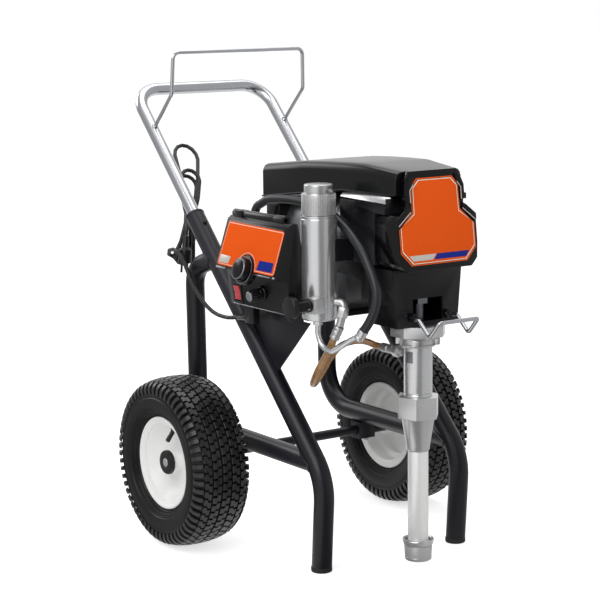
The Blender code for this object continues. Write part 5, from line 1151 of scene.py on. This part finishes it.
            # The pale lines along the wedges' edges are painted highlights, where the glossy black
            # edges catch the light.
            for name, line in (("high", [(57.6, 690), (57.6, 711.5), (49.8, 721.5)]),
                               ("low", [(59, 673.5), (87.4, 650.4)])):
                path = [(side.value * x, face_y(z) - 3.3, z) for x, z in line]
                self.keep(tube(f"bright_{name}_{side.label}", path, 0.8, 8), LABEL_SILVER,
                          slot="cover_black")


    def ledge(self) -> None:
        """Make the bright steel strips on the housing's chamfered ledges, painted highlights for the
        glossy chamfers' reflection, and the clip at its end.
        """
        for side in Side:
            corners = [(side.value * x, y, z) for x, y, z in
                       ((90.4, -287, 690), (90.4, -424, 687), (77.4, -424, 697.6),
                        (77.4, -287, 703.6))]
            # Painted highlight: a polished steel strip laid on the black chamfer, where the gloss
            # only reflects light.
            highlight_strip = pushed(f"ledge_trim_{side.label}", corners, (side.value * 1.0, 0, 1.2), 0.3)
            self.keep(highlight_strip, POLISHED_STEEL, slot="housing_black")
            clip = block(f"ledge_clip_{side.label}", (side.value * 84 - 6, -429, 686),
                         (side.value * 84 + 6, -422, 697), 1.2)
            self.keep(clip, CAST_BLACK)


# ---------------------------------------------------------------- pump
@dataclass
class Pump(Assembly):
    """The piston pump from its flange down to the strainer."""

    y: float = -401.0
    swivel_x: float = -13.0
    swivel_z: float = 405.0
    window_turn: float = 194.6

    def build(self) -> None:
        """Make the pump."""
        foot = (0, self.y, 0)
        self.keep(self.refined("pump_flange", 1.4), ZINC_PLATE, "pump_flange")
        cylinder = [(26.2, 324), (26.2, 330), (25.4, 331), (25.4, 333), (26.2, 334), (26.2, 410),
                    (26.2, 460.5), (12, 460.5), (12, 450), (18, 450), (18, 324)]
        self.keep(turned("cylinder_tube", cylinder, foot, UP, 96, 0.4, True), POLISHED_STEEL,
                  "pump_cylinder", slot="pump_polished")
        flat = block("cylinder_flat", (25.6, self.y - 7, 391), (26.7, self.y + 7, 412), 0.4)
        self.keep(swung(flat, self.window_turn, foot), DARK_STEEL, slot="pump_polished")
        self.jam_nut()
        self.intake()
        self.suction()
        self.swivel()
        # The pump rod gets the darker steel so that it reads dark in the housing's window: painted
        # shade.
        self.dress("pump_rod", DARK_STEEL)
        self.hanger()

    def jam_nut(self) -> None:
        """Make the jam nut with its four lugs."""
        ring = [(26.6, 420), (31, 420), (33.4, 422.4), (33.4, 424), (31, 425.4), (31, 433),
                (33.4, 434.4), (33.4, 436.4), (31.5, 438.5), (26.6, 438.5)]
        nut = turned("jam_ring", ring, (0, self.y, 0), UP, 72, 0.4, True)
        lug = block("jam_lug", (30, self.y - 6.5, 423), (40.5, self.y + 6.5, 435.5), 1.5)
        swung(around(lug, 4, (0, self.y, 0), UP), 45, (0, self.y, 0))
        self.keep(joined("jam_nut_lugged", [nut, lug]), ZINC_PLATE, "jam_nut")

    def intake(self) -> None:
        """Make the hexagonal intake with its cone."""
        centre = (0, self.y, 286)
        head = hexagon("intake_hex", centre, UP, 71, 41.5, 47.6)
        cone = [(15, 224), (19.5, 224), (21.5, 226), (22.6, 236), (30.5, 284), (32.8, 287),
                (15, 287)]
        body = turned("intake_cone", cone, (0, self.y, 0), UP, 96, 0.5, True)
        self.keep(joined("intake_body", [head, body]), ZINC_PLATE, "intake_housing")

    def suction(self) -> None:
        """Make the suction tube, its ribbed collar and the strainer."""
        foot = (0, self.y, 0)
        pipe = [(16.5, 40), (19, 40), (19, 223.7), (16.5, 223.7)]
        self.keep(turned("suction_pipe", pipe, foot, UP, 72, 0.4, True), PALE_TUBE, "suction_tube")
        collar = [(19.3, 45.2), (26.6, 45.2), (27.4, 46.4), (27.8, 50.6), (29.2, 52.4),
                  (29.4, 54.4), (28.4, 56.2), (26.4, 56.4), (25.2, 54.6), (19.3, 54.6)]
        ring = turned("collar_ring", collar, foot, UP, 96, 0.3, True)
        self.keep(ring, POLISHED_STEEL, "strainer_collar", slot="pump_plated")
        cup = [(0, 18.6), (21, 18.6), (23.4, 20), (24.8, 22.6), (26.2, 44.6), (0, 44.6)]
        self.keep(turned("strainer_cup", cup, foot, UP, 72, 0.4), STRAINER_MESH, "strainer")
        rim = [(17, 15.9), (23, 15.9), (24.9, 17.6), (25.2, 21.6), (24.2, 22.4), (17, 17.6)]
        self.keep(turned("strainer_rim", rim, foot, UP, 72, 0.3, True), ZINC_PLATE)

    def swivel(self) -> None:
        """Make the hose fitting behind the cylinder."""
        barrel = [(0, 309), (7.2, 309), (8.5, 311), (8.5, 330), (7.4, 331), (7.4, 333),
                  (8.5, 334), (8.5, 352), (6.8, 353), (6.8, 374.5), (0, 374.5)]
        body = turned("swivel_barrel", barrel, (self.swivel_x, 0, self.swivel_z),
                      (0, -1, 0), 40, 0.4)
        nut = hexagon("swivel_nut", (self.swivel_x, -348, self.swivel_z), (0, -1, 0), 21, 16, 10)
        self.keep(joined("hose_swivel", [body, nut]), ZINC_PLATE, "outlet_swivel")

    def hanger(self) -> None:
        """Make the wire that a pail's bail hangs on."""
        half = [(35, -435, 480), (44.2, -435, 480), (44.2, -459, 480), (44.2, -492, 452),
                (44.2, -518.9, 482)]
        corners = half + [(-x, y, z) for x, y, z in reversed(half)]
        radii = [3.5, 6, 6, 6, 6, 6, 6, 3.5]
        self.keep(tube("hanger_wire", rounded(corners, radii, 6), 3.9, 20), CHROME, "pail_hanger",
                  body=Body.HANGER, slot="pump_polished")


# ---------------------------------------------------------------- control box
@dataclass
class ControlBox(Assembly):
    """The control box with its label, knob, switch, fuse holder and rail."""

    low: Pair = (-238.0, 552.0)
    high: Pair = (-208.6, 641.3)
    knob_y: float = -188.0

    @property
    def rise(self) -> Vector:
        """Return the direction up the panel."""
        return Vector((self.high[0] - self.low[0], 0, self.high[1] - self.low[1])).normalized()

    @property
    def out(self) -> Vector:
        """Return the direction out of the panel."""
        return Vector((-self.rise.z, 0, self.rise.x))

    def panel(self, y: float, up: float, out: float) -> Point:
        """Return a point by its distance up the panel and out of it."""
        return tuple(Vector((self.low[0], y, self.low[1])) + self.rise * up + self.out * out)

    def build(self) -> None:
        """Make the control box."""
        self.keep(self.refined("control_box", 1.1), BOX_SATIN, "control_box")
        self.label()
        self.knob()
        self.switch()
        self.fuse()
        self.rail()

    def label(self) -> None:
        """Make the label in layers, cut out round the knob."""
        def outline(inset: float, out: float) -> list[Point]:
            corners = [(-92 - inset, 5 + inset), (-96.5 - inset, 89.5 - inset),
                       (-284.5 + inset, 87 - inset), (-284.5 + inset, 3.5 + inset)]
            start = ((corners[0][0] + corners[3][0]) / 2, (corners[0][1] + corners[3][1]) / 2)
            path = [self.panel(y, up, out) for y, up in (start, *corners, start)]
            return rounded(path, [max(6.5 - inset, 1.5)] * 4, 5)[:-1]

        layers = ((-2.4, 0.25, 0.3, "panel_border", COVER_GLOSS, 28.4),
                  (0.0, 0.5, 0.25, "panel_field", LABEL_ORANGE, 30.0),
                  (2.4, 0.7, 0.2, "panel_line", LABEL_CREAM, 32.2),
                  (3.4, 0.8, 0.25, "panel_middle", LABEL_ORANGE, 33.2))
        for inset, lift, thick, name, finish, arch in layers:
            made = pushed(name, outline(inset, lift), self.out * thick, 0.1)
            hole = [(0, -4), (arch, -4), (arch, 6), (0, 6)]
            tool = turned("arch", hole, self.panel(self.knob_y, 4, 0), self.out, 64, 0)
            carve(made, tool)
            nodes = ["control_label"] if name == "panel_field" else []
            self.keep(tidy(made), finish, *nodes, slot="panel_orange")
        patches = (("panel_grey_patch", LABEL_SILVER,
                    [(-98, 10), (-98, 25), (-133, 24), (-129, 10)]),
                   ("panel_blue_patch", LABEL_BLUE,
                    [(-226, 9), (-229, 27), (-275, 27), (-276, 9)]))
        for name, finish, corners in patches:
            points = [self.panel(y, up, 1.1) for y, up in corners]
            self.keep(pushed(name, points, self.out * 0.25, 0.08), finish, slot="panel_orange")
        strips = (("panel_strip_rear", [(-91, -1.4), (-91, 2.2), (-126, 2.2), (-121, -1.4)]),
                  ("panel_strip_front", [(-213, -1.4), (-218, 1.2), (-276, 1.2), (-272, -1.4)]),
                  ("panel_tab", [(-279, -1.4), (-284, 2), (-289, 2), (-289, -1.4)]))
        for name, corners in strips:
            points = [self.panel(y, up, 0.3) for y, up in corners]
            self.keep(pushed(name, points, self.out * 0.5, 0.1), BRIGHT_STEEL)

    def knob(self) -> None:
        """Make the pressure knob with its grip ribs and the rings on its face."""
        centre = self.panel(self.knob_y, 4, 0)
        profile = [(3.4, 3.5), (22, 3.5), (22.4, 5), (21.6, 12), (20.4, 15), (18.4, 16.4),
                   (12.0, 17.0), (0, 17.2), (0, 10.6), (3.4, 10.6)]
        body = turned("knob_body", profile, centre, self.out, 72, 0.5, True)
        rib_low = self.panel(self.knob_y + 21.4, 4, 5.5)
        rib_high = self.panel(self.knob_y + 20.9, 4, 11.5)
        rib = tube("knob_rib", [rib_low, rib_high], 1.1, 8)
        around(rib, 36, centre, self.out)
        self.keep(joined("knob_grip", [body, rib]), COVER_GLOSS, "pressure_knob", body=Body.KNOB,
                  slot="knob_black")
        ring = [(18.0, 16.2), (20.0, 15.0), (20.3, 15.4), (18.2, 16.7)]
        self.keep(turned("knob_ring", ring, centre, self.out, 72, 0, True), GREY_PRINT,
                  body=Body.KNOB)
        collar = [(24.2, 2.6), (26.6, 2.6), (26.2, 3.6), (24.6, 3.6)]
        self.keep(turned("boss_ring", collar, centre, self.out, 72, 0, True), GREY_PRINT,
                  slot="box_black")

    def switch(self) -> None:
        """Make the rocker's lens on its black rocker."""
        made = self.refined("rocker_switch", 2.4, 4)
        self.keep(made, RED_LENS, "rocker_switch", body=Body.ROCKER)

    def sill(self, y: float, z: float, out: float) -> Point:
        """Return a point by its place on the lower face and its distance out of it."""
        across = Vector((-8, 0, 63)).normalized()
        normal = Vector((-across.z, 0, across.x))
        share = (z - 480) / 63
        return tuple(Vector((-204 - 8 * share, y, z)) + normal * out)

    def fuse(self) -> None:
        """Make the fuse holder with its bright cap, and the sill's bright lower edge."""
        axis = Vector(self.sill(0, 513, 1)) - Vector(self.sill(0, 513, 0))
        centre = self.sill(-205, 513, 0)
        profile = [(0, 0.3), (14, 0.3), (14, 4), (12.8, 5.2), (11.4, 5.4), (11.4, 10),
                   (10.6, 11), (11, 12), (11, 29), (10, 30.5), (0, 30.5)]
        body = turned("fuse_body", profile, centre, axis, 48, 0.3)
        rib = tube("fuse_rib", [self.sill(-205 + 10.6, 513, 14), self.sill(-205 + 10.6, 513, 28)],
                   1.0, 8)
        around(rib, 18, centre, axis)
        self.keep(body, COVER_GLOSS, "fuse_holder", slot="knob_black")
        self.keep(rib, DARK_STEEL, slot="knob_black")
        end = turned("fuse_end", [(0, 30), (9.4, 30), (9.2, 32), (8, 32.9), (0, 32.9)], centre,
                     axis, 40, 0.3)
        self.keep(end, BRIGHT_STEEL, slot="knob_black")
        edge = tube("sill_edge", [self.sill(-97, 481, 0.4), self.sill(-281, 481, 0.4)], 1.0, 8)
        self.keep(edge, BRIGHT_STEEL)

    def rail(self) -> None:
        """Make the rail bar's plastic sleeve and its clamp."""
        sleeve_end = [(4.2, 0), (8.9, 0), (8.9, 30), (8.2, 31), (8.0, 31), (4.2, 31)]
        made = turned("rail_sleeve", sleeve_end, (-194, -263, 651), (0, 1, 0), 40, 0.5, True)
        self.keep(made, NYLON_BLACK, slot="box_black")
        clamp = pushed("rail_clamp", [(-204, -104, 641), (-204, -104, 658), (-184, -104, 658),
                                      (-184, -104, 641)], (0, -24, 0), 2.0)
        self.keep(clamp, BOX_SATIN)


# ---------------------------------------------------------------- fluid line
@dataclass
class FluidLine(Assembly):
    """The filter, its valves, the pipes and both hoses."""

    x: float = -146.0
    y: float = -297.0
    pipe_route: tuple[Point, ...] = (
        (-160, -311.6, 462.8), (-160, -311.6, 446), (-158.5, -322, 426.5), (-154, -343.2, 418.9),
        (-147, -367.7, 430.9), (-138, -385, 444.1))
    hose_route: tuple[Point, ...] = (
        (-127, -405.6, 460.5), (-122, -417.6, 479.3), (-118, -428.5, 503),
        (-116, -431.2, 528.8), (-115, -422.1, 553.2), (-115, -408.9, 574.1),
        (-115, -390.6, 597.7), (-114, -365.2, 617.5), (-111, -339.8, 632.6),
        (-105, -309, 644), (-102, -278, 656), (-104, -235, 667), (-109, -193.5, 673.3),
        (-112, -155, 674.9), (-118, -99.5, 671.6), (-122, -74, 662), (-125.5, -57, 648),
        (-129, -48, 600), (-130, -47, 560))
    paint_route: tuple[Point, ...] = (
        (-136, -328, 437), (-141.5, -317, 412), (-139, -282, 373), (-128, -250.6, 346),
        (-115, -229, 333.5), (-99, -216, 334), (-84.4, -215, 350.7), (-68, -221, 378.5),
        (-55, -236, 401), (-40, -258, 411.5), (-25, -274, 411.5), (-13, -289, 405),
        (-13, -308.7, 405))

    def build(self) -> None:
        """Make the fluid line."""
        self.bowl()
        self.cap()
        self.prime()
        self.drain()
        self.elbow()
        hose = tube("paint_hose_line", flowing(self.paint_route, 6), 6.4, 24)
        self.keep(hose, HOSE_AMBER, "paint_hose")

    def bowl(self) -> None:
        """Make the bowl, the arm that carries it and the valve block."""
        centre = (self.x, self.y, 0)
        profile = [(0, 470), (29, 470), (32, 472), (33.3, 475), (33.3, 655), (32.6, 656),
                   (32.6, 658), (33.3, 659), (33.3, 661.5), (0, 661.5)]
        body = turned("bowl_body", profile, centre, UP, 96, 0.5)
        self.keep(body, POLISHED_STEEL, "filter_bowl")
        arm = block("bowl_arm", (self.x, self.y - 30, 577.4), (-90.4, self.y + 5, 618.6), 3)
        self.keep(arm, CAST_BLACK)
        valve = block("valve_block", (-181, -328.5, 485.5), (self.x, -301.5, 514.5), 2)
        outlet = turned("drain_outlet", [(0, 470), (8.5, 470), (8.5, 488), (0, 488)],
                        (-160, -311.6, 0), UP, 32, 0.3)
        nut = hexagon("drain_nut", (-160, -311.6, 463.2), UP, 16, 8, 10)
        self.keep(joined("valve_body", [valve, outlet, nut]), ZINC_PLATE, slot="filter_polished")

    def cap(self) -> None:
        """Make the filter's cap with its knurled ring and its round head."""
        centre = (self.x, self.y, 0)
        ring = turned("cap_ring", [(0, 661.9), (30.2, 661.9), (30.2, 702), (0, 702)], centre, UP,
                      96, 1.2)
        ridge = block("cap_ridge", (self.x + 29.6, self.y - 0.75, 664),
                      (self.x + 31.3, self.y + 0.75, 700), 0.4)
        around(ridge, 60, centre, UP)
        head = turned("cap_head", [(0, 701), (25.6, 701), (26.4, 702.4), (26.4, 716), (25, 717.8),
                                   (0, 717.9)], centre, UP, 96, 0.5)
        self.keep(joined("cap_knurled", [ring, ridge, head]), ZINC_PLATE, "filter_cap",
                  slot="fitting_plated")

    def prime(self) -> None:
        """Make the prime valve's sleeve, its cross pin and its handle."""
        axis = (-1, 0, 0)
        centre = (0, -315, 501)
        sleeve_profile = [(0, 181.3), (12.2, 181.3), (12.2, 186), (11, 187), (11, 215), (4, 215),
                          (4, 222), (0, 222)]
        self.keep(turned("prime_sleeve", sleeve_profile, centre, axis, 48, 0.4), COVER_GLOSS,
                  "prime_valve", slot="valve_black")
        pin = tube("cross_pin", [(-192, -331, 497), (-192, -299, 497)], 1.9, 12)
        self.keep(pin, CHROME, slot="fitting_plated")
        disc = [(4.4, 215.4), (20.5, 215.4), (20.8, 217), (20.5, 225), (18.8, 227.2), (0, 227.4),
                (0, 222.4), (4.4, 222.4)]
        body = turned("prime_disc", disc, centre, axis, 64, 0.6, True)
        lug = block("prime_lug", (-225.5, -321, 477), (-216.4, -309, 486.5), 1.5)
        self.keep(joined("prime_grip", [body, lug]), NYLON_BLACK, "prime_handle", body=Body.PRIME,
                  slot="valve_black")

    def drain(self) -> None:
        """Make the drain pipe, its ferrule and the black hose."""
        aim = (Vector(self.hose_route[1]) - Vector(self.hose_route[0])).normalized()
        mouth = Vector(self.hose_route[0]) - aim * 0.3
        route = [*self.pipe_route, tuple(mouth - aim * 10)]
        pipe = tube("drain_bend", flowing(route, 3), 5.2, 24)
        profile = [(0, 0), (6.5, 0), (8.8, 2.5), (9.5, 4), (9.5, 8), (8.9, 9), (8.9, 11),
                   (9.5, 12), (9.5, 22), (9.2, 22.6), (0, 22.6)]
        ferrule = turned("drain_ferrule", profile, tuple(mouth - aim * 20), aim, 40, 0.3)
        self.keep(joined("drain_line", [pipe, ferrule]), POLISHED_STEEL, "drain_pipe")
        hose = tube("drain_hose_line", flowing(self.hose_route, 6), 8.4, 28)
        self.keep(hose, HOSE_RUBBER, "drain_hose")

    def elbow(self) -> None:
        """Make the outlet elbow with its nut and the crimped ferrule."""
        corner = Vector((-121, -342, 504))
        centre = Vector((self.x, self.y, corner.z))
        start = centre + (corner - centre).normalized() * 33
        aim = (Vector(self.paint_route[1]) - Vector(self.paint_route[0])).normalized()
        end = Vector(self.paint_route[0]) - aim * 0.3
        knee = end - aim * 26
        path = rounded([tuple(start), tuple(corner), tuple(knee)], [9], 8)
        pipe = tube("elbow_pipe", path, 7.5, 24)
        flow = knee - corner
        nut = hexagon("elbow_nut", tuple(corner + flow * 0.2), flow, 19, flow.length * 0.42, 20)
        profile = [(0, 0), (8, 0), (9, 1.5), (9, 6), (8.2, 7), (8.2, 9), (9, 10), (9, 16),
                   (8.2, 17), (8.2, 19), (9, 20), (9, 25.5), (0, 25.5)]
        ferrule = turned("elbow_ferrule", profile, tuple(knee), aim, 40, 0.3)
        self.keep(joined("outlet_line", [pipe, nut, ferrule]), ZINC_PLATE, "outlet_elbow",
                  slot="fitting_plated")


# ---------------------------------------------------------------- mains cord
@dataclass
class MainsCord(Assembly):
    """The mains cord from its gland through the hank to the plug."""

    radius: float = 4.0
    loops: int = 3
    loop_points: int = 24
    pitch: float = 9.0
    halves: tuple[float, float, float] = (20.0, 8.0, 25.0)
    short: float = 0.78
    spine: tuple[Point, ...] = ((-151, 180, 522), (-128, 180, 628), (-71, 292, 750))
    start_route: tuple[Point, ...] = (
        (-187, -83.7, 449), (-187, -45, 443), (-187, 2, 446), (-187, 45, 464), (-187, 80, 492),
        (-187, 108, 527), (-187.5, 135, 551), (-187, 163, 553), (-181.5, 181, 543),
        (-172.8, 187.8, 535.7), (-163.6, 189.6, 532.3))
    end_route: tuple[Point, ...] = (
        (-149, 161.1, 612.9), (-151.4, 156.4, 604.4), (-156, 149, 596), (-160, 146, 588),
        (-160.8, 145.8, 580))

    def build(self) -> None:
        """Make the cord, the plug and the tie."""
        path = [*flowing(self.start_route, 18), *self.hank()[1:-1], *flowing(self.end_route, 10)]
        cord = line_curve("mains_lead", path, self.radius, 14)
        self.keep(cord, CORD_RUBBER, "power_cord", "cord_hank", "plug_lead")
        plug = self.keep(self.refined("plug", 1.5, 3), NYLON_BLACK, "plug", slot="knob_black")
        band = [self.place(0.5, 15.0 * math.cos(math.tau * step / 24),
                           11.5 * math.sin(math.tau * step / 24)) for step in range(25)]
        tie = self.keep(tube("cord_band", band, 1.7, 10), CORD_RUBBER, "cord_tie")

    def place(self, along: float, wide: float, deep: float) -> Point:
        """Return a point of the hank at a share of its length, across it and into it."""
        low, waist, top = (Vector(point) for point in self.spine)
        bend = waist * 2 - (low + top) / 2
        here = low * (1 - along) ** 2 + bend * (2 * along * (1 - along)) + top * along ** 2
        ahead = ((bend - low) * (1 - along) + (top - bend) * along).normalized()
        aside = (Vector((1, 0, 0)) - ahead * ahead.x).normalized()
        return tuple(here + aside * wide + ahead.cross(aside) * deep)

    def half(self, share: float) -> float:
        """Return half the hank's width between its lower and its upper turn."""
        bottom, waist, top = self.halves
        straight = bottom + (top - bottom) * share
        return straight - ((bottom + top) / 2 - waist) * math.sin(math.pi * share) ** 2

    def hank(self) -> list[Point]:
        """Return the points of the hank's loops as one line, front loop last."""
        spine = [Vector(self.place(step / 20, 0, 0)) for step in range(21)]
        length = sum((after - before).length for before, after in pairwise(spine))
        bottom, _, top = self.halves
        low_arc = bottom / length
        high_arc = top / length
        run = 5
        turn = self.loop_points // 2 - run
        points = []
        for loop in range(self.loops):
            for step in range(self.loop_points):
                climb = 0.0
                if step < turn:
                    angle = math.pi * step / turn
                    along = low_arc - low_arc * math.sin(angle)
                    wide = -bottom * math.cos(angle)
                elif step < turn + run:
                    share = (step - turn) / run
                    along = low_arc + (1 - high_arc - low_arc) * share
                    wide = self.half(share)
                elif step < 2 * turn + run:
                    angle = math.pi * (step - turn - run) / turn
                    along = 1 - high_arc + high_arc * math.sin(angle)
                    wide = top * math.cos(angle)
                else:
                    climb = (step - 2 * turn - run) / run
                    along = low_arc + (1 - high_arc - low_arc) * (1 - climb)
                    wide = -self.half(1 - climb)
                deep = (self.loops / 2 - loop - climb) * self.pitch
                gathered = 1 - 0.5 * math.sin(math.pi * min(max(along, 0.0), 1.0)) ** 2
                if along > low_arc and loop != 1:
                    along = low_arc + (along - low_arc) * self.short
                    wide *= self.short
                deep *= gathered
                points.append(self.place(along, wide, deep))
        return points[2:-1]


# ---------------------------------------------------------------- studio
@dataclass
class Studio:
    """The floor, the lamps, the pale surroundings and the camera."""

    azimuth: float = -34.37
    elevation: float = 9.36
    roll: float = -0.63
    focal_pixels: float = 1889.3
    picture_width: float = 600
    sensor: float = 36
    distance: float = 3773.6
    aim: Point = (9.63, -6.59, 451.9)
    look_height: float = 450.0
    floor_size: float = 60.0
    floor_drop: float = 0.0005
    floor_glow: float = 0.66
    room_light: float = 0.42
    sectors: tuple[Pair, ...] = ((-180, 1.0), (-142, 1.0), (-125, 0.4), (-78, 0.45), (-56, 0.8),
                                 (-46, 1.0), (-8, 1.0), (0, 0.2), (24, 0.2), (36, 0.5),
                                 (112, 0.6), (130, 0.5), (150, 1.0), (180, 1.0))

    def build(self) -> None:
        """Set up the studio."""
        scene = bpy.context.scene
        scene.view_settings.view_transform = "Standard"
        self.camera()
        self.floor()
        self.surroundings()
        self.lamp("key_softbox", (-2700, -1500, 2800), 2600, 54)
        self.lamp("fill_softbox", (2600, -2600, 1700), 1700, 24, mirrored=False)
        self.lamp("top_softbox", (300, 400, 3300), 2400, 36)
        self.lamp("rear_softbox", (-1200, 2800, 2100), 1600, 24)

    def camera(self) -> None:
        """Put the camera where the photograph was taken from."""
        azimuth = math.radians(self.azimuth)
        elevation = math.radians(self.elevation)
        roll = math.radians(self.roll)
        back = Vector((math.sin(azimuth) * math.cos(elevation),
                       -math.cos(azimuth) * math.cos(elevation), math.sin(elevation)))
        right = Vector((math.cos(azimuth), math.sin(azimuth), 0))
        up = back.cross(right)
        across = right * math.cos(roll) + up * math.sin(roll)
        upright = up * math.cos(roll) - right * math.sin(roll)
        data = bpy.data.cameras.new("camera")
        data.lens = self.focal_pixels / self.picture_width * self.sensor
        data.sensor_width = self.sensor
        data.clip_end = 60
        camera = bpy.data.objects.new("camera", data)
        bpy.context.scene.collection.objects.link(camera)
        turn = Matrix((across, upright, back)).transposed().to_4x4()
        place = world(self.aim) + back * self.distance * MM
        camera.matrix_world = Matrix.Translation(place) @ turn
        bpy.context.scene.camera = camera

    def floor(self) -> None:
        """Lay a large white floor that keeps a soft shadow."""
        bpy.ops.object.select_all(action="DESELECT")
        bpy.ops.mesh.primitive_plane_add(size=self.floor_size, location=(0, 0, -self.floor_drop))
        plane = bpy.context.active_object
        plane.name = "studio_floor"
        made = bpy.data.materials.new("studio_white")
        made.use_nodes = True
        tree = made.node_tree
        shader = tree.nodes["Principled BSDF"]
        shader.inputs["Base Color"].default_value = linear("#f2f2f2")
        shader.inputs["Roughness"].default_value = 0.9
        path = add(tree, "ShaderNodeLightPath").outputs
        glow = add(tree, "ShaderNodeEmission", {}, {
            "Strength": reckon(tree, "MULTIPLY", path["Is Camera Ray"], self.floor_glow)})
        seen = add(tree, "ShaderNodeAddShader", {}, {0: shader.outputs[0], 1: glow.outputs[0]})
        place = add(tree, "ShaderNodeTexCoord").outputs["Object"]
        mirror = add(tree, "ShaderNodeEmission", {}, {"Strength": self.panorama(tree, place)})
        mixed = add(tree, "ShaderNodeMixShader", {}, {
            0: path["Is Glossy Ray"], 1: seen.outputs[0], 2: mirror.outputs[0]})
        tree.links.new(mixed.outputs[0], tree.nodes["Material Output"].inputs["Surface"])
        plane.data.materials.append(made)

    def surroundings(self) -> None:
        """Fill the room with even light, white where it is seen or mirrored."""
        room = bpy.data.worlds.new("studio")
        bpy.context.scene.world = room
        room.use_nodes = True
        tree = room.node_tree
        white = (1, 1, 1, 1)
        soft = tree.nodes["Background"]
        soft.inputs["Color"].default_value = white
        soft.inputs["Strength"].default_value = self.room_light
        place = add(tree, "ShaderNodeTexCoord").outputs["Generated"]
        graded = add(tree, "ShaderNodeBackground", {"Color": white},
                     {"Strength": self.panorama(tree, place)})
        path = add(tree, "ShaderNodeLightPath").outputs
        seen = reckon(tree, "MAXIMUM", path["Is Camera Ray"], path["Is Glossy Ray"])
        mixed = add(tree, "ShaderNodeMixShader", {}, {
            0: reckon(tree, "MAXIMUM", seen, path["Is Transmission Ray"]),
            1: soft.outputs[0], 2: graded.outputs[0]})
        tree.links.new(mixed.outputs[0], tree.nodes["World Output"].inputs["Surface"])

    def panorama(self, tree: bpy.types.NodeTree, place: Any) -> Any:
        """Grade what mirrors see by its direction: panels and gaps left and right of the camera.

        Args:
            tree: the node tree.
            place: the socket that gives the direction from the machine.

        Returns:
            The socket that holds the brightness.
        """
        azimuth = math.radians(self.azimuth)
        ways = ((math.cos(azimuth), math.sin(azimuth), 0), (math.sin(azimuth), -math.cos(azimuth), 0))
        shares = [add(tree, "ShaderNodeVectorMath", {"operation": "DOT_PRODUCT"},
                      {0: place, 1: way}).outputs["Value"] for way in ways]
        along = add(tree, "ShaderNodeMapRange", {"From Min": -math.pi, "From Max": math.pi},
                    {"Value": reckon(tree, "ARCTAN2", *shares)}).outputs["Result"]
        ramp = add(tree, "ShaderNodeValToRGB", {}, {0: along})
        steps = ramp.color_ramp.elements
        for angle, _ in self.sectors[1:-1]:
            steps.new((angle + 180) / 360)
        for step, (_, level) in zip(steps, self.sectors):
            step.color = (level, level, level, 1)
        return ramp.outputs["Color"]

    def lamp(self, name: str, place: Point, size: float, power: float,
             mirrored: bool = True) -> None:
        """Add a square softbox that faces the machine."""
        data = bpy.data.lights.new(name, "AREA")
        data.size = size * MM
        data.energy = power
        made = bpy.data.objects.new(name, data)
        bpy.context.scene.collection.objects.link(made)
        made.location = world(place)
        made.visible_glossy = mirrored
        aim = world((0, 0, self.look_height)) - made.location
        made.rotation_euler = aim.to_track_quat("-Z", "Y").to_euler()


def main() -> None:
    """Load the frame, make every sub-assembly and set up the studio."""
    logging.basicConfig(level=logging.INFO, format="%(message)s")
    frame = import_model()
    bpy.ops.object.select_all(action="DESELECT")
    Studio().build()
    parts = [MainsCord(frame), CartFrame(frame), Handle(frame),
             *[Wheel(frame, side=side) for side in Side], DriveUnit(frame), Pump(frame),
             ControlBox(frame), FluidLine(frame)]
    for part in parts:
        part.build()
        LOG.info("%s: %d pieces", type(part).__name__, len(part.pieces))


if __name__ == "__main__":
    main()
